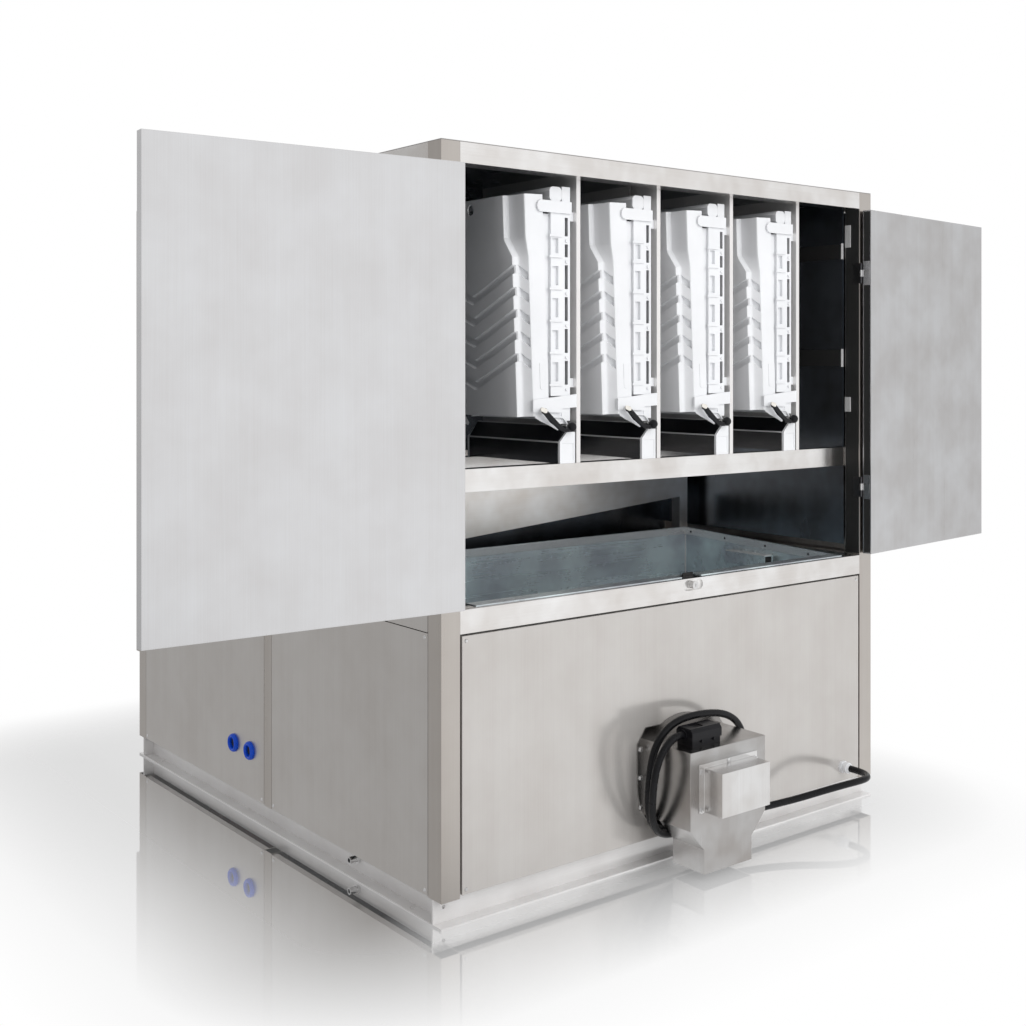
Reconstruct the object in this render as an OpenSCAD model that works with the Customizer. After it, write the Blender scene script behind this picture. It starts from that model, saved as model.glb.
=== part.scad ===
// Cube ice machine: a stainless cabinet on an angle base, with two hinged doors, four
// evaporator modules, an ice hopper with a screw conveyor, and a front ice spout.

/* [Cabinet] */
// Overall width of the cabinet
body_w = 1650; // [1640:5:1700]
// Depth of the cabinet from the front posts to the rear posts
body_d = 1845; // [1840:5:1900]
// Overall height of the cabinet
body_h = 1900; // [1895:5:1950]
// Height of the base frame
base_h = 65; // [60:1:72]
// Width of each face of a corner post
post_w = 56; // [50:1:60]
// Width of the posts between two side panels
mid_post_w = 45; // [40:1:50]
// Front face of the posts between two side panels
mid_post_y = 865; // [860:1:880]
// Thickness of the sheet metal
sheet = 2; // [1.5:0.5:2.5]
// Depth of the folded edges of a panel
panel_d = 20; // [18:1:24]

/* [Rails] */
// Height of the top rails
top_rail_h = 51; // [45:1:55]
// Underside of the middle rails
mid_rail_z = 1040; // [1035:1:1045]
// Height of the middle rails
mid_rail_h = 58; // [50:1:62]
// Underside of the low rails
low_rail_z = 704; // [700:1:710]
// Height of the low rails
low_rail_h = 59; // [55:1:62]
// Depth of the front low rail and the front middle rail
rail_d = 40; // [36:1:42]

/* [Doors] */
// Thickness of a door
door_t = 28; // [25:1:28]
// Gap beside each door
door_gap = 2; // [2:0.5:3]
// Distance from the cabinet's middle to where the doors meet, to the right
door_shift = 23; // [0:1:26]
// Angle that the left door stands open
left_door_angle = 183.45; // [170:0.01:184]
// Angle that the right door stands open
right_door_angle = 186.6; // [170:0.01:187]
// Height of a hinge
hinge_h = 63; // [50:1:70]

/* [Ice modules] */
// Left face of the first divider
divider_x0 = 476; // [470:1:480]
// Distance from one divider to the next
divider_pitch = 295; // [290:1:298]
// Width of a curtain and what it hangs on
module_w = 200; // [195:1:204]
// Depth of a module
module_d = 404; // [390:1:420]
// Depth of a curtain's grooves
groove_d = 6; // [3:0.5:7]
// Angle by which a curtain leans in toward the evaporator
curtain_lean = 2.3; // [0:0.1:2.3]

/* [Ice hopper and spout] */
// Left and right inset of the hopper
hopper_in = 118; // [100:1:125]
// Depth of the hopper
hopper_d = 640; // [600:5:645]
// Centre of the screw conveyor across the cabinet
auger_x = 807; // [800:1:815]
// Height of the screw conveyor's centre
auger_z = 244; // [240:1:250]
// Outer radius of the screw
auger_r = 85; // [70:1:88]
// Pitch of the screw
auger_pitch = 150; // [120:1:180]
// Width of the spout box
spout_w = 288; // [280:1:296]
// Depth of the spout box
spout_d = 178; // [170:1:190]

/* [Power cable] */
// Outer diameter of the cable
cable_d = 20; // [16:0.5:21]

/* [Hidden] */
$fn = 48;

// Small distances
eps = 0.01;
cut = 1;
run_gap = 0.05;
seat_gap = 0.3;

// Heights and places that follow from the driving sizes
top_rail_z = body_h - sheet - top_rail_h;
low_top = low_rail_z + low_rail_h;
mid_top = mid_rail_z + mid_rail_h;
post_top = body_h - sheet;
left_in = post_w;
right_in = body_w - post_w;
mid_post_back = mid_post_y + mid_post_w;
mid_rail_y = post_w + 2;
panel_gap = 2;
bulkhead_y = mid_post_y + 13;
ceiling_z = top_rail_z + 21;

// Base frame
base_t = 5;
base_flange = 40;
base_beam_w = 50;
anchor_x = 17.5;
anchor_y = 150;
anchor_r = 6.5;
drain_y = 437;
drain_z = 41;
drain_r = 9;
drain_bore = 6;
drain_tip = 6;

// Rear cover
cover_t = 38;
cover_z = 355;
louvre_rows = 12;
louvre_cols = 3;
louvre_w = 380;
louvre_h = 12;
louvre_pitch = 42;

// Front panel
front_gap = 6;
front_z0 = base_h + 7;
front_z1 = low_rail_z - 5;
front_x0 = left_in + front_gap;
front_x1 = right_in - front_gap;
gland_x = front_x1 - 81;
gland_z = 117;
gland_len = 32;
tunnel_r = 100;

// Doors and hinges
door_z0 = low_top + 5;
door_z1 = top_rail_z - 5;
door_mid = body_w / 2 + door_shift;
door_meet = 2;
hinge_in = 3;
hinge_y = -3.5;
knuckle_r = 3.4;
hinge_pin_r = 1.7;
leaf_t = 0.9;
leaf_w = 24;
knuckle_gap = 0.2;
hinge_z = [945, 1614];
hinge_x = left_in - hinge_in;
knuckle_h = hinge_h / 3;
left_x0 = left_in + door_gap;
left_x1 = door_mid - door_meet;
right_x0 = door_mid + door_meet;
right_x1 = right_in - door_gap;

// Lock
lock_x = 856;
lock_z = low_rail_z + 40;
lock_r = 10;
lock_recess_r = 14;
lock_recess_l = 75;
lock_spindle_r = 5;
cam_y = rail_d + 3;

// Ice modules, measured from the divider's left face and the top of the middle rails
module_count = 4;
module_y = mid_rail_y + 4;
module_mid = module_y + module_d / 2;
divider_flange = 14;
strip_x = -47;
strip_r = -19;
column_x = -85;
pivot_x = -120;
pin_r = 4;
arm_t = 6.5;
arm_y = module_y - 7;
frame_h0 = 112;
frame_h1 = ceiling_z - mid_top - 42;
tube_h = 38;
tube_h0 = frame_h1 - tube_h - 2;
evap_h0 = 192;
evap_h1 = tube_h0 - 18;
pivot_h = evap_h1 + 3;
arm_h = 31;
arm_h0 = pivot_h - arm_h / 2 - 0.5;
column_h0 = evap_h0 - 14;
column_d = 22;
ledge_first = evap_h0 + 12;
ledge_pitch = 84;
ledge_last = 55;
ledge_n = floor((evap_h1 - ledge_first - ledge_last - 75) / ledge_pitch);
ledge_h = concat([for (k = [0:ledge_n]) ledge_first + k * ledge_pitch],
    [ledge_first + ledge_n * ledge_pitch + ledge_last]);
ledge_left = -92;
strap_h = [137.5, 134, 145, 147.5, 182, 168.5];
lever_x = -123;
lever_h = 140;
lever_t = 7;
lever_y = module_y - 20.3;
ball_x = -30;
ball_h = 96.5;
ball_r = 12.6;
trough_x0 = -57;
trough_x1 = -5;
trough_side = 57;
trough_top = 82;
cap_t = 8;
curtain_h0 = trough_top + 45;
curtain_h1 = pivot_h + 29;
curtain_step = pivot_h - 81;
curtain_slope = 51;
curtain_edge = -112;
curtain_fold = -154;
curtain_high_fold = -176;
curtain_side = curtain_fold - 26;
curtain_low_y = module_y + 23;
curtain_high_y = module_y + 59;
curtain_t = 4;
groove_pitch = 57;
groove_h0 = curtain_h0 + 165;
groove_drop = 77;
groove_w = 22;
groove_n = floor((curtain_step - groove_h0 - 72) / groove_pitch) + 1;

// Hopper and screw conveyor
hopper_y = 60;
hopper_y1 = hopper_y + hopper_d;
hopper_x1 = body_w - hopper_in;
hopper_back = low_top + 27;
hopper_slope_z = 560;
trough_r = auger_r + 12;
shaft_r = 20;
bearing_r = 34;
bearing_d = 20;
motor_l = 120;

// Spout
spout_x0 = auger_x - spout_w / 2;
spout_x1 = auger_x + spout_w / 2;
spout_z0 = 144;
spout_z1 = 348;
neck_x0 = 714;
neck_x1 = 897;
neck_z = 22;
neck_taper = 86;
neck_back = -62;
flange_t = 3;
flange_r = 168;
flange_top = 378;
cover_x0 = 713;
cover_x1 = 897;
cover_z0 = 186;
cover_z1 = 301;
cover_d = 65;

// Route of the power cable's centre line, from the gland round the spout to the connector
CABLE_ROUTE = [[1507, -32, 117], [1507, -52, 117], [1504, -84, 117], [1488, -112, 118],
    [1459, -129, 119], [1416, -131, 120], [1362, -121, 117], [1290, -102, 109],
    [1210, -78, 97], [1120, -53, 89], [1025, -32, 84], [925, -20, 85], [830, -16, 90],
    [755, -17, 95], [694, -24, 104], [650, -40, 134], [631, -52, 188], [628, -60, 250],
    [630, -66, 310], [650, -72, 366], [702, -75, 402], [768, -73, 408], [838, -71, 405],
    [908, -69, 393], [968, -66, 360], [997, -61, 303], [998, -56, 243], [992, -52, 180],
    [958, -50, 124], [890, -49, 100], [815, -49, 94], [745, -49, 90], [686, -52, 96],
    [640, -64, 128], [617, -82, 184], [606, -98, 245], [606, -108, 302], [630, -112, 350],
    [668, -112, 376], [700, -112, 376]];
cable_steps = 2;
cable_sides = 10;
hood_x0 = 700;
hood_x1 = 815;
hood_y0 = -145;
hood_y1 = -85;
hood_top = 395;

// Machine room
comp_x = 1150;
comp_y = 1350;
comp_r = 110;
comp_h = 420;
cond_x = 220;
cond_z = 205;
cond_r = 95;
cond_y0 = 960;
cond_y1 = 1560;
water_y = [1000, 1107];
water_r = 15.5;
water_len = 40;

// Moves its children from the cabinet's front left corner to the part's origin
module cab() {
    translate([-body_w / 2, -body_d / 2, 0]) children();
}

// A box given by its lowest and highest corners
module block(a, b) {
    translate(a) cube(b - a);
}

// A rectangular tube from corner a to corner b, open along one axis
module box_tube(a, b, wall, axis) {
    inset = [for (i = [0:2]) i == axis ? -cut : wall];
    difference() {
        block(a, b);
        block(a + inset, b - inset);
    }
}

// A shallow tray along X, with its outer face at the low X end
module tray_x(a, b, wall) {
    difference() {
        block(a, b);
        block(a + [wall, wall, wall], [b[0] + cut, b[1] - wall, b[2] - wall]);
    }
}

// A shallow tray along Y, with its outer face at the low Y end
module tray_y(a, b, wall) {
    difference() {
        block(a, b);
        block(a + [wall, wall, wall], [b[0] - wall, b[1] + cut, b[2] - wall]);
    }
}

// A cylinder along X, Y or Z from a given centre
module rod_x(p, r, l) {
    translate(p) rotate([0, 90, 0]) cylinder(r = r, h = l);
}

module rod_y(p, r, l) {
    translate(p) rotate([-90, 0, 0]) cylinder(r = r, h = l);
}

// Children mirrored about the middle of the cabinet's width
module other_side() {
    translate([body_w, 0, 0]) mirror([1, 0, 0]) children();
}

module both_sides() {
    children();
    other_side() children();
}

// Children mirrored about a plane of constant Y
module mirror_y(y) {
    translate([0, 2 * y, 0]) mirror([0, 1, 0]) children();
}

// An outline drawn in Y and Z, extruded along X
module along_x(x0, x1) {
    translate([x0, 0, 0]) rotate([90, 0, 90]) linear_extrude(x1 - x0) children();
}

// An outline drawn in X and Z, extruded along Y
module along_y(y0, y1) {
    translate([0, y1, 0]) rotate([90, 0, 0]) linear_extrude(y1 - y0) children();
}

// A rectangle with round corners
module round_rect(w, h, r) {
    translate([r, 0]) square([w - 2 * r, h]);
    translate([0, r]) square([w, h - 2 * r]);
    for (x = [r, w - r], y = [r, h - r]) translate([x, y]) circle(r);
}

// Children turned about an upright axis
module turned(x, y, angle) {
    translate([x, y, 0]) rotate([0, 0, angle]) translate([-x, -y, 0]) children();
}

// Base, posts and rails

module base_frame() {
    beam_h = base_h - base_t;
    color("gainsboro") cab() difference() {
        union() {
            block([0, 0, 0], [body_w, base_flange, base_t]);
            block([0, base_flange - base_t, 0], [body_w, base_flange, base_h]);
            block([0, body_d - base_flange, 0], [body_w, body_d, base_t]);
            block([0, body_d - base_flange, 0],
                [body_w, body_d - base_flange + base_t, base_h]);
            both_sides() {
                block([0, 0, 0], [base_flange, body_d, base_t]);
                block([base_flange - base_t, base_flange - base_t, 0],
                    [base_flange, body_d - base_flange + base_t, base_h]);
            }
            box_tube([(body_w - base_beam_w) / 2, base_flange - eps, 0],
                [(body_w + base_beam_w) / 2, body_d - base_flange + eps, beam_h], 4, 1);
            box_tube([base_flange - eps, (body_d - base_beam_w) / 2, 0],
                [body_w - base_flange + eps, (body_d + base_beam_w) / 2, beam_h], 4, 0);
        }
        for (x = [anchor_x, body_w - anchor_x], y = [anchor_y, body_d - anchor_y])
            translate([x, y, -cut]) cylinder(r = anchor_r, h = base_t + 2 * cut);
        rod_x([base_flange - base_t - cut, drain_y, drain_z], drain_r, base_t + 2 * cut);
        rod_y([base_flange - 8.4, base_flange - base_t - cut, drain_z], 5, base_t + 2 * cut);
    }
}

module floor_pan() {
    z = base_h - base_t;
    color("silver") cab()
        block([base_flange, base_flange, z],
            [body_w - base_flange, body_d - base_flange, z + sheet]);
}

module posts() {
    stop_w = 14;
    color("rosybrown") cab() {
        both_sides() {
            union() {
                box_tube([0, 0, base_h], [post_w, post_w, post_top], sheet, 2);
                block([post_w - eps, panel_d, front_z0],
                    [post_w + stop_w, panel_d + sheet, front_z1]);
            }
            box_tube([0, body_d - post_w, base_h], [post_w, body_d, post_top], sheet, 2);
            box_tube([0, mid_post_y, base_h], [post_w, mid_post_back, top_rail_z], sheet, 2);
        }
    }
}

module top_rails() {
    color("linen") cab() {
        box_tube([left_in, 0, top_rail_z], [right_in, post_w, post_top], sheet, 0);
        box_tube([left_in, body_d - post_w, top_rail_z],
            [right_in, body_d - panel_d, post_top], sheet, 0);
        both_sides() box_tube([0, post_w, top_rail_z],
            [post_w, body_d - post_w, post_top], sheet, 1);
    }
}

// The rails inside both sides, in two lengths between the posts
module side_rails(z0, z1) {
    both_sides() {
        box_tube([panel_d, post_w, z0], [post_w, mid_post_y, z1], sheet, 1);
        box_tube([panel_d, mid_post_back, z0], [post_w, body_d - post_w, z1], sheet, 1);
    }
}

module middle_rails() {
    x0 = left_in + sheet;
    x1 = right_in - sheet;
    color("linen") cab() {
        side_rails(mid_rail_z, mid_top);
        box_tube([x0, mid_rail_y, mid_rail_z], [x1, mid_rail_y + rail_d, mid_top], sheet, 0);
        box_tube([x0, module_y + module_d - rail_d, mid_rail_z],
            [x1, module_y + module_d, mid_top], sheet, 0);
    }
}

module low_rails() {
    recess_d = 6;
    pan_t = recess_d + sheet;
    left = lock_x - lock_recess_l / 2;
    color("linen") cab() {
        difference() {
            union() {
                box_tube([left_in, 0, low_rail_z], [right_in, rail_d, low_top], sheet, 0);
                block([left - 4, sheet - eps, low_rail_z + sheet - eps],
                    [left + lock_recess_l + 4, pan_t, low_top - sheet + eps]);
            }
            along_y(-cut, recess_d) translate([left, lock_z - lock_recess_r])
                round_rect(lock_recess_l, 2 * lock_recess_r, lock_recess_r - eps);
            rod_y([lock_x, -cut, lock_z], lock_r, rail_d + 2 * cut);
        }
        side_rails(low_rail_z, low_top);
        box_tube([left_in + seat_gap, hopper_y1, low_rail_z],
            [right_in - seat_gap, hopper_y1 + rail_d, low_top], sheet, 0);
        box_tube([left_in, body_d - post_w, low_rail_z],
            [right_in, body_d - panel_d, low_top], sheet, 0);
    }
}

// Covers

module roof_panel() {
    stiffener = 30;
    color("gainsboro") cab() union() {
        block([0, 0, post_top], [body_w, body_d, body_h]);
        for (y = [body_d / 3, 2 * body_d / 3])
            block([left_in + 2, y, post_top - stiffener / 2],
                [right_in - 2, y + stiffener, post_top + eps]);
    }
}

module front_panel() {
    color("silver") cab() difference() {
        tray_y([front_x0, 0, front_z0], [front_x1, panel_d, front_z1], sheet);
        rod_y([auger_x, -cut, auger_z], tunnel_r + 1, 10);
        rod_y([gland_x, -cut, gland_z], cable_d / 2 + 3, 10);
    }
}

// Four panels on one side, below and above the seam and each side of the middle post,
// with holes for pipes at the given places
module side_panels(pipe_y) {
    spans = [[post_w + panel_gap, mid_post_y - panel_gap],
        [mid_post_back + panel_gap, body_d - post_w - panel_gap]];
    seam = low_rail_z + 2;
    for (s = spans) {
        difference() {
            tray_x([0, s[0], base_h + 2], [panel_d, s[1], seam - 1], sheet);
            for (y = pipe_y)
                if (y > s[0] && y < s[1]) rod_x([-cut, y, cond_z], water_r + 7, 10);
        }
        tray_x([0, s[0], seam + 1], [panel_d, s[1], top_rail_z - 2], sheet);
    }
}

module left_panels() {
    color("darkgray") cab() side_panels(water_y);
}

module right_panels() {
    color("darkgray") cab() other_side() side_panels([]);
}

module back_panel() {
    color("silver") cab() mirror_y(body_d / 2)
        tray_y([left_in + panel_gap, 0, base_h + 2],
            [right_in - panel_gap, panel_d, top_rail_z - 2], sheet);
}

module rear_cover() {
    edge = 4;
    z1 = body_h;
    span = (body_w - 2 * edge) / louvre_cols;
    first = cover_z + 180;
    color("dimgray") cab() difference() {
        mirror_y(body_d + cover_t / 2)
            tray_y([edge, body_d, cover_z], [body_w - edge, body_d + cover_t, z1], sheet);
        for (c = [0:louvre_cols - 1], i = [0:louvre_rows - 1])
            block([edge + span * (c + 0.5) - louvre_w / 2, body_d + cover_t - sheet - cut,
                    first + i * louvre_pitch],
                [edge + span * (c + 0.5) + louvre_w / 2, body_d + cover_t + cut,
                    first + i * louvre_pitch + louvre_h]);
    }
}

module screw_head(p, dir) {
    // A pan head standing on a face, pointing along dir
    translate(p) rotate(dir) cylinder(r1 = 5, r2 = 3.5, h = 2.5);
}

module panel_screws() {
    inset = 12;
    mid_y = [post_w + panel_gap + inset, mid_post_y - panel_gap - inset,
        mid_post_back + panel_gap + inset, body_d - post_w - panel_gap - inset];
    color("white") cab() {
        for (x = [front_x0 + inset, front_x1 - inset], z = [front_z0 + inset, front_z1 - inset])
            screw_head([x, 0, z], [90, 0, 0]);
        both_sides() for (y = mid_y, z = [base_h + 14, low_rail_z - 10, low_top + 6])
            screw_head([0, y, z], [0, -90, 0]);
    }
}

// Inside walls

module inner_liners() {
    z0 = low_top + 29;
    y1 = bulkhead_y;
    plate_t = 2;
    color("darkslategray") cab() {
        both_sides() block([left_in, post_w + 4, z0], [left_in + sheet, y1, ceiling_z + sheet]);
        other_side() for (z = [[mid_top + 2, ceiling_z - 516], [ceiling_z - 459, ceiling_z - 175],
                [ceiling_z - 125, ceiling_z - 2]])
            block([left_in + sheet, post_w + 6, z[0]],
                [left_in + sheet + plate_t, y1 - 400, z[1]]);
        block([left_in + sheet, post_w + 4, ceiling_z],
            [right_in - sheet, y1, ceiling_z + sheet]);
    }
}

module bulkhead() {
    shaft_hole = 150;
    color("slategray") cab() difference() {
        block([left_in, bulkhead_y, base_h - base_t + sheet],
            [right_in, bulkhead_y + sheet, ceiling_z + sheet]);
        block([auger_x - shaft_hole / 2, bulkhead_y - cut, auger_z - shaft_hole / 2],
            [auger_x + shaft_hole / 2, bulkhead_y + sheet + cut, auger_z + shaft_hole / 2]);
    }
}

function divider_x(i) = divider_x0 + i * divider_pitch;

module dividers() {
    y1 = module_y + module_d + 8;
    color("white") cab() for (i = [0:module_count - 1]) translate([divider_x(i), 0, 0]) {
        union() {
            block([0, mid_rail_y, mid_top], [sheet, y1, ceiling_z]);
            block([0, mid_rail_y, mid_top], [divider_flange, mid_rail_y + sheet, ceiling_z]);
            block([0, y1 - sheet, mid_top], [divider_flange, y1, ceiling_z]);
        }
    }
}

// Ice modules. Each is drawn with x = 0 on its divider and z = 0 on the middle rails.

module at_module(i) {
    translate([divider_x(i), 0, mid_top]) children();
}

module each_module() {
    for (i = [0:module_count - 1]) at_module(i) children();
}

module front_and_back() {
    children();
    mirror_y(module_mid) children();
}

module frame_end() {
    slot_x = [-37, -26];
    front = module_y + 4;
    difference() {
        union() {
            // Column with ledges, upright strip and the top arm that carries the curtain
            block([column_x, module_y, column_h0], [strip_x + eps, module_y + column_d, arm_h0]);
            block([strip_x, module_y, frame_h0], [strip_r, front, frame_h1]);
            block([column_x, arm_y, arm_h0], [strip_r, front, tube_h0]);
            along_y(arm_y, arm_y + arm_t) union() {
                translate([pivot_x, arm_h0]) square([column_x - pivot_x + 1, arm_h]);
                translate([pivot_x, arm_h0 + arm_h / 2]) circle(arm_h / 2);
            }
            for (z = ledge_h) {
                block([ledge_left, module_y - 5, z], [strip_x, module_y + 1, z + 5]);
                rod_y([-31.5, module_y - 4, z - 9], 4.5, 5);
            }
            // Bottom strap, reaching from the divider past the curtain
            along_y(arm_y, arm_y + arm_t)
                polygon([[-149, strap_h[0]], [-51, strap_h[1]], [-50, strap_h[2]],
                    [-2, strap_h[3]], [-2, strap_h[4]], [-149, strap_h[5]]]);
            block([strip_x, arm_y, strap_h[3] + 1], [strip_r, front, strap_h[4] - 5]);
        }
        for (i = [0:len(ledge_h) - 1]) {
            z = ledge_h[i];
            next = i < len(ledge_h) - 1 ? ledge_h[i + 1] : z + 70;
            if (i < len(ledge_h) - 1)
                block([column_x + 6, module_y - eps, z + 12],
                    [strip_x - 12, module_y + 9, min(z + 62, next - 4)]);
            block([slot_x[0], module_y - cut, z + 3], [slot_x[1], front + cut, next - 18]);
        }
    }
    rod_y([pivot_x, arm_y + 2, pivot_h], pin_r, 16);
}

module module_frame() {
    union() {
        front_and_back() frame_end();
        block([strip_r - 3, module_y + 3, frame_h0],
            [strip_r, module_y + module_d - 3, frame_h1]);
        front_and_back() for (z = [evap_h0 + 8, evap_h1 - 30])
            block([strip_r - eps, module_y + 8, z], [0, module_y + 28, z + 24]);
        // Lever pin on the front strap
        rod_y([lever_x, lever_y - lever_t / 2 - 3, lever_h], pin_r, lever_t + 15);
        rod_y([lever_x, lever_y + lever_t / 2 + 1, lever_h], 9, 10);
    }
}

module module_frames() {
    color("white") cab() each_module() module_frame();
}

module evaporators() {
    x0 = -78;
    x1 = -50;
    y0 = module_y + column_d;
    y1 = module_y + module_d - column_d;
    cols = 8;
    rows = 10;
    wall = 5;
    cell_y = (y1 - y0 - wall) / cols;
    cell_z = (evap_h1 - evap_h0 - wall) / rows;
    color("silver") cab() each_module() difference() {
        block([x0, y0, evap_h0], [x1, y1, evap_h1]);
        for (c = [0:cols - 1], r = [0:rows - 1])
            block([x0 - cut, y0 + wall + c * cell_y, evap_h0 + wall + r * cell_z],
                [x1 - 4, y0 + (c + 1) * cell_y, evap_h0 + (r + 1) * cell_z]);
    }
}

module evaporator_tubes() {
    r = 5;
    x = -50 + r + 0.1;
    bend = (evap_h1 - evap_h0 - 60) / 10;
    y0 = module_y + column_d + 2 * bend;
    y1 = module_y + module_d - column_d - 2 * bend;
    color("chocolate") cab() each_module() union() {
        for (i = [0:5]) {
            z = evap_h0 + 30 + 2 * bend * i;
            rod_y([x, y0, z], r, y1 - y0);
            if (i < 5) translate([x, i % 2 == 0 ? y1 : y0, z + bend])
                rotate([0, 90, 0]) rotate([0, 0, i % 2 == 0 ? 0 : 180])
                    rotate_extrude(angle = 180) translate([bend, 0]) circle(r);
        }
    }
}

module distributors() {
    x0 = -89;
    w = 41.5;
    holes = 10;
    bore = 13;
    y0 = module_y;
    y1 = module_y + module_d;
    color("whitesmoke") cab() each_module() difference() {
        along_y(y0, y1) translate([x0, tube_h0]) round_rect(w, tube_h, 12);
        rod_y([x0 + w / 2, y0 + 6, tube_h0 + tube_h / 2], bore, y1 - y0 - 12);
        for (i = [0:holes - 1])
            translate([x0 + 9, y0 + 32 + i * (y1 - y0 - 64) / (holes - 1), tube_h0 - cut])
                cylinder(r = 1.5, h = 10);
    }
}

module cap_outline() {
    polygon([[trough_x0, 0], [trough_x1, 0], [trough_x1, trough_top],
        [trough_x1 - 28, trough_top], [trough_x0, trough_side]]);
}

module water_troughs() {
    y0 = module_y + cap_t - 4;
    y1 = module_y + module_d - cap_t + 4;
    color("dimgray") cab() each_module() difference() {
        block([trough_x0, y0, 0], [trough_x1, y1, trough_top]);
        block([trough_x0 + sheet, y0 - cut, sheet], [trough_x1 - sheet, y1 + cut, 200]);
        block([trough_x0 - cut, y0 - cut, trough_side], [trough_x1 - sheet, y1 + cut, 200]);
    }
}

module trough_caps() {
    y0 = module_y - 4;
    color("white") cab() each_module() front_and_back() difference() {
        along_y(y0, y0 + cap_t) cap_outline();
        along_y(y0 - cut, y0 + 1.5) translate([trough_x0 + 6, 6]) square([40, 46]);
    }
}

module ice_slides() {
    y0 = module_y + cap_t - 3;
    y1 = module_y + module_d - cap_t + 3;
    slots = 24;
    pitch = (y1 - y0 - 10) / slots;
    slide_x = -25;
    slide_h = trough_side + 41;
    slide_t = 4;
    color("black") cab() each_module() difference() {
        along_y(y0, y1) polygon([[trough_x0, trough_side], [trough_x0 + slide_t, trough_side],
            [slide_x, slide_h - slide_t], [slide_x, slide_h], [slide_x - 3, slide_h]]);
        for (i = [0:slots - 1])
            block([trough_x0 + 7, y0 + 7 + i * pitch, trough_side],
                [slide_x - 7, y0 + 7 + i * pitch + pitch / 2, slide_h + cut]);
    }
}

// Outline of a curtain seen from above, drawn in by t: the front wall folds back at fold_x
// to the start of the side wall at side_x and step_y
function curtain_plan(t, fold_x, side_x, step_y) =
    let(y = module_y + t, s = step_y + t, w = -module_w + t * (1 + groove_d / curtain_t),
        f = fold_x + 0.9 * t, x = side_x + 0.6 * t, e = curtain_edge + 2 * t,
        m = 2 * module_mid)
    [[e, y], [f, y], [x, s], [w, s], [w, m - s], [x, m - s], [f, m - y], [e, m - y]];

function low_plan(t) = curtain_plan(t, curtain_fold, curtain_side, curtain_low_y);
function high_plan(t) = curtain_plan(t, curtain_high_fold, curtain_high_fold, curtain_high_y);

module curtain_wall(h0, h1, outer, inner) {
    translate([0, 0, h0]) linear_extrude(h1 - h0) difference() {
        polygon(outer);
        polygon(inner);
    }
}

// The slope below the set-back top of a curtain, t thick, and the wall at its inner end
module curtain_shoulder(t) {
    z0 = curtain_step - curtain_slope;
    along_x(-module_w, curtain_high_fold + t)
        polygon([[curtain_low_y, z0], [curtain_high_y, curtain_step],
            [curtain_high_y + t, curtain_step], [curtain_high_y + t, curtain_step - t],
            [curtain_low_y + t, z0 - 1.5 * t], [curtain_low_y, z0 - 1.5 * t]]);
    along_x(curtain_high_fold, curtain_high_fold + t)
        polygon([[curtain_low_y - 2, z0 - t], [curtain_high_y + t, curtain_step],
            [curtain_low_y - 2, curtain_step]]);
}

module curtain_grooves() {
    low_y = curtain_low_y;
    fold = atan2(module_y - low_y, curtain_fold - curtain_side);
    m = module_mid;
    for (k = [0:groove_n - 1]) {
        z = groove_h0 + k * groove_pitch;
        along_x(-module_w - cut, -module_w + groove_d)
            polygon([[low_y - cut, z], [m, z - groove_drop], [2 * m - low_y + cut, z],
                [2 * m - low_y + cut, z - groove_w], [m, z - groove_drop - groove_w],
                [low_y - cut, z - groove_w]]);
        front_and_back() {
            block([-module_w - cut, low_y - cut, z - groove_w], [curtain_side, low_y + 3, z]);
            translate([curtain_side, low_y, z]) rotate([0, 0, fold]) rotate([90, 0, 0])
                linear_extrude(6, center = true)
                    polygon([[-2, 0], [33, -20], [33, -20 - groove_w], [-2, -groove_w]]);
        }
    }
}

module curtain_body() {
    side_step = 3;
    difference() {
        union() {
            curtain_wall(curtain_h0, curtain_step, low_plan(0), low_plan(curtain_t));
            curtain_wall(curtain_step - eps, curtain_h1, high_plan(0), high_plan(curtain_t));
            curtain_wall(curtain_step - curtain_t, curtain_step, low_plan(0),
                high_plan(curtain_t));
        }
        curtain_grooves();
        front_and_back() along_x(-module_w - cut, curtain_high_fold)
            polygon([[curtain_low_y - cut, curtain_step - curtain_slope],
                [curtain_low_y, curtain_step - curtain_slope],
                [curtain_high_y, curtain_step], [curtain_low_y - cut, curtain_step]]);
        block([-module_w - cut, module_y, curtain_step - 6],
            [-module_w + side_step, 2 * module_mid - module_y, curtain_h1 + cut]);
        rod_x([-module_w - cut, module_mid, pivot_h + 3], 14.5, groove_d + curtain_t + 2 * cut);
    }
    front_and_back() curtain_shoulder(curtain_t);
}

// Tilts its children about the curtain's pins, so that the bottom leans in
module leaned() {
    translate([pivot_x, 0, pivot_h]) rotate([0, -curtain_lean, 0])
        translate([-pivot_x, 0, -pivot_h]) children();
}

module curtain(i) {
    low_x = curtain_fold + 20;
    color("white") cab() at_module(i) difference() {
        union() {
            leaned() curtain_body();
            front_and_back() {
                // Apron below the front wall, and the boss round the pivot pin
                along_y(module_y, module_y + curtain_t)
                    polygon([[low_x, curtain_h0 - 5], [-93, 104], [-59.5, 87.5], [-56.5, 94.5],
                        [-93, 150], [low_x, 150]]);
                rod_y([pivot_x, module_y, pivot_h], 10, 11);
            }
        }
        front_and_back() rod_y([pivot_x, module_y - cut, pivot_h], pin_r + run_gap, 14);
    }
}

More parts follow.
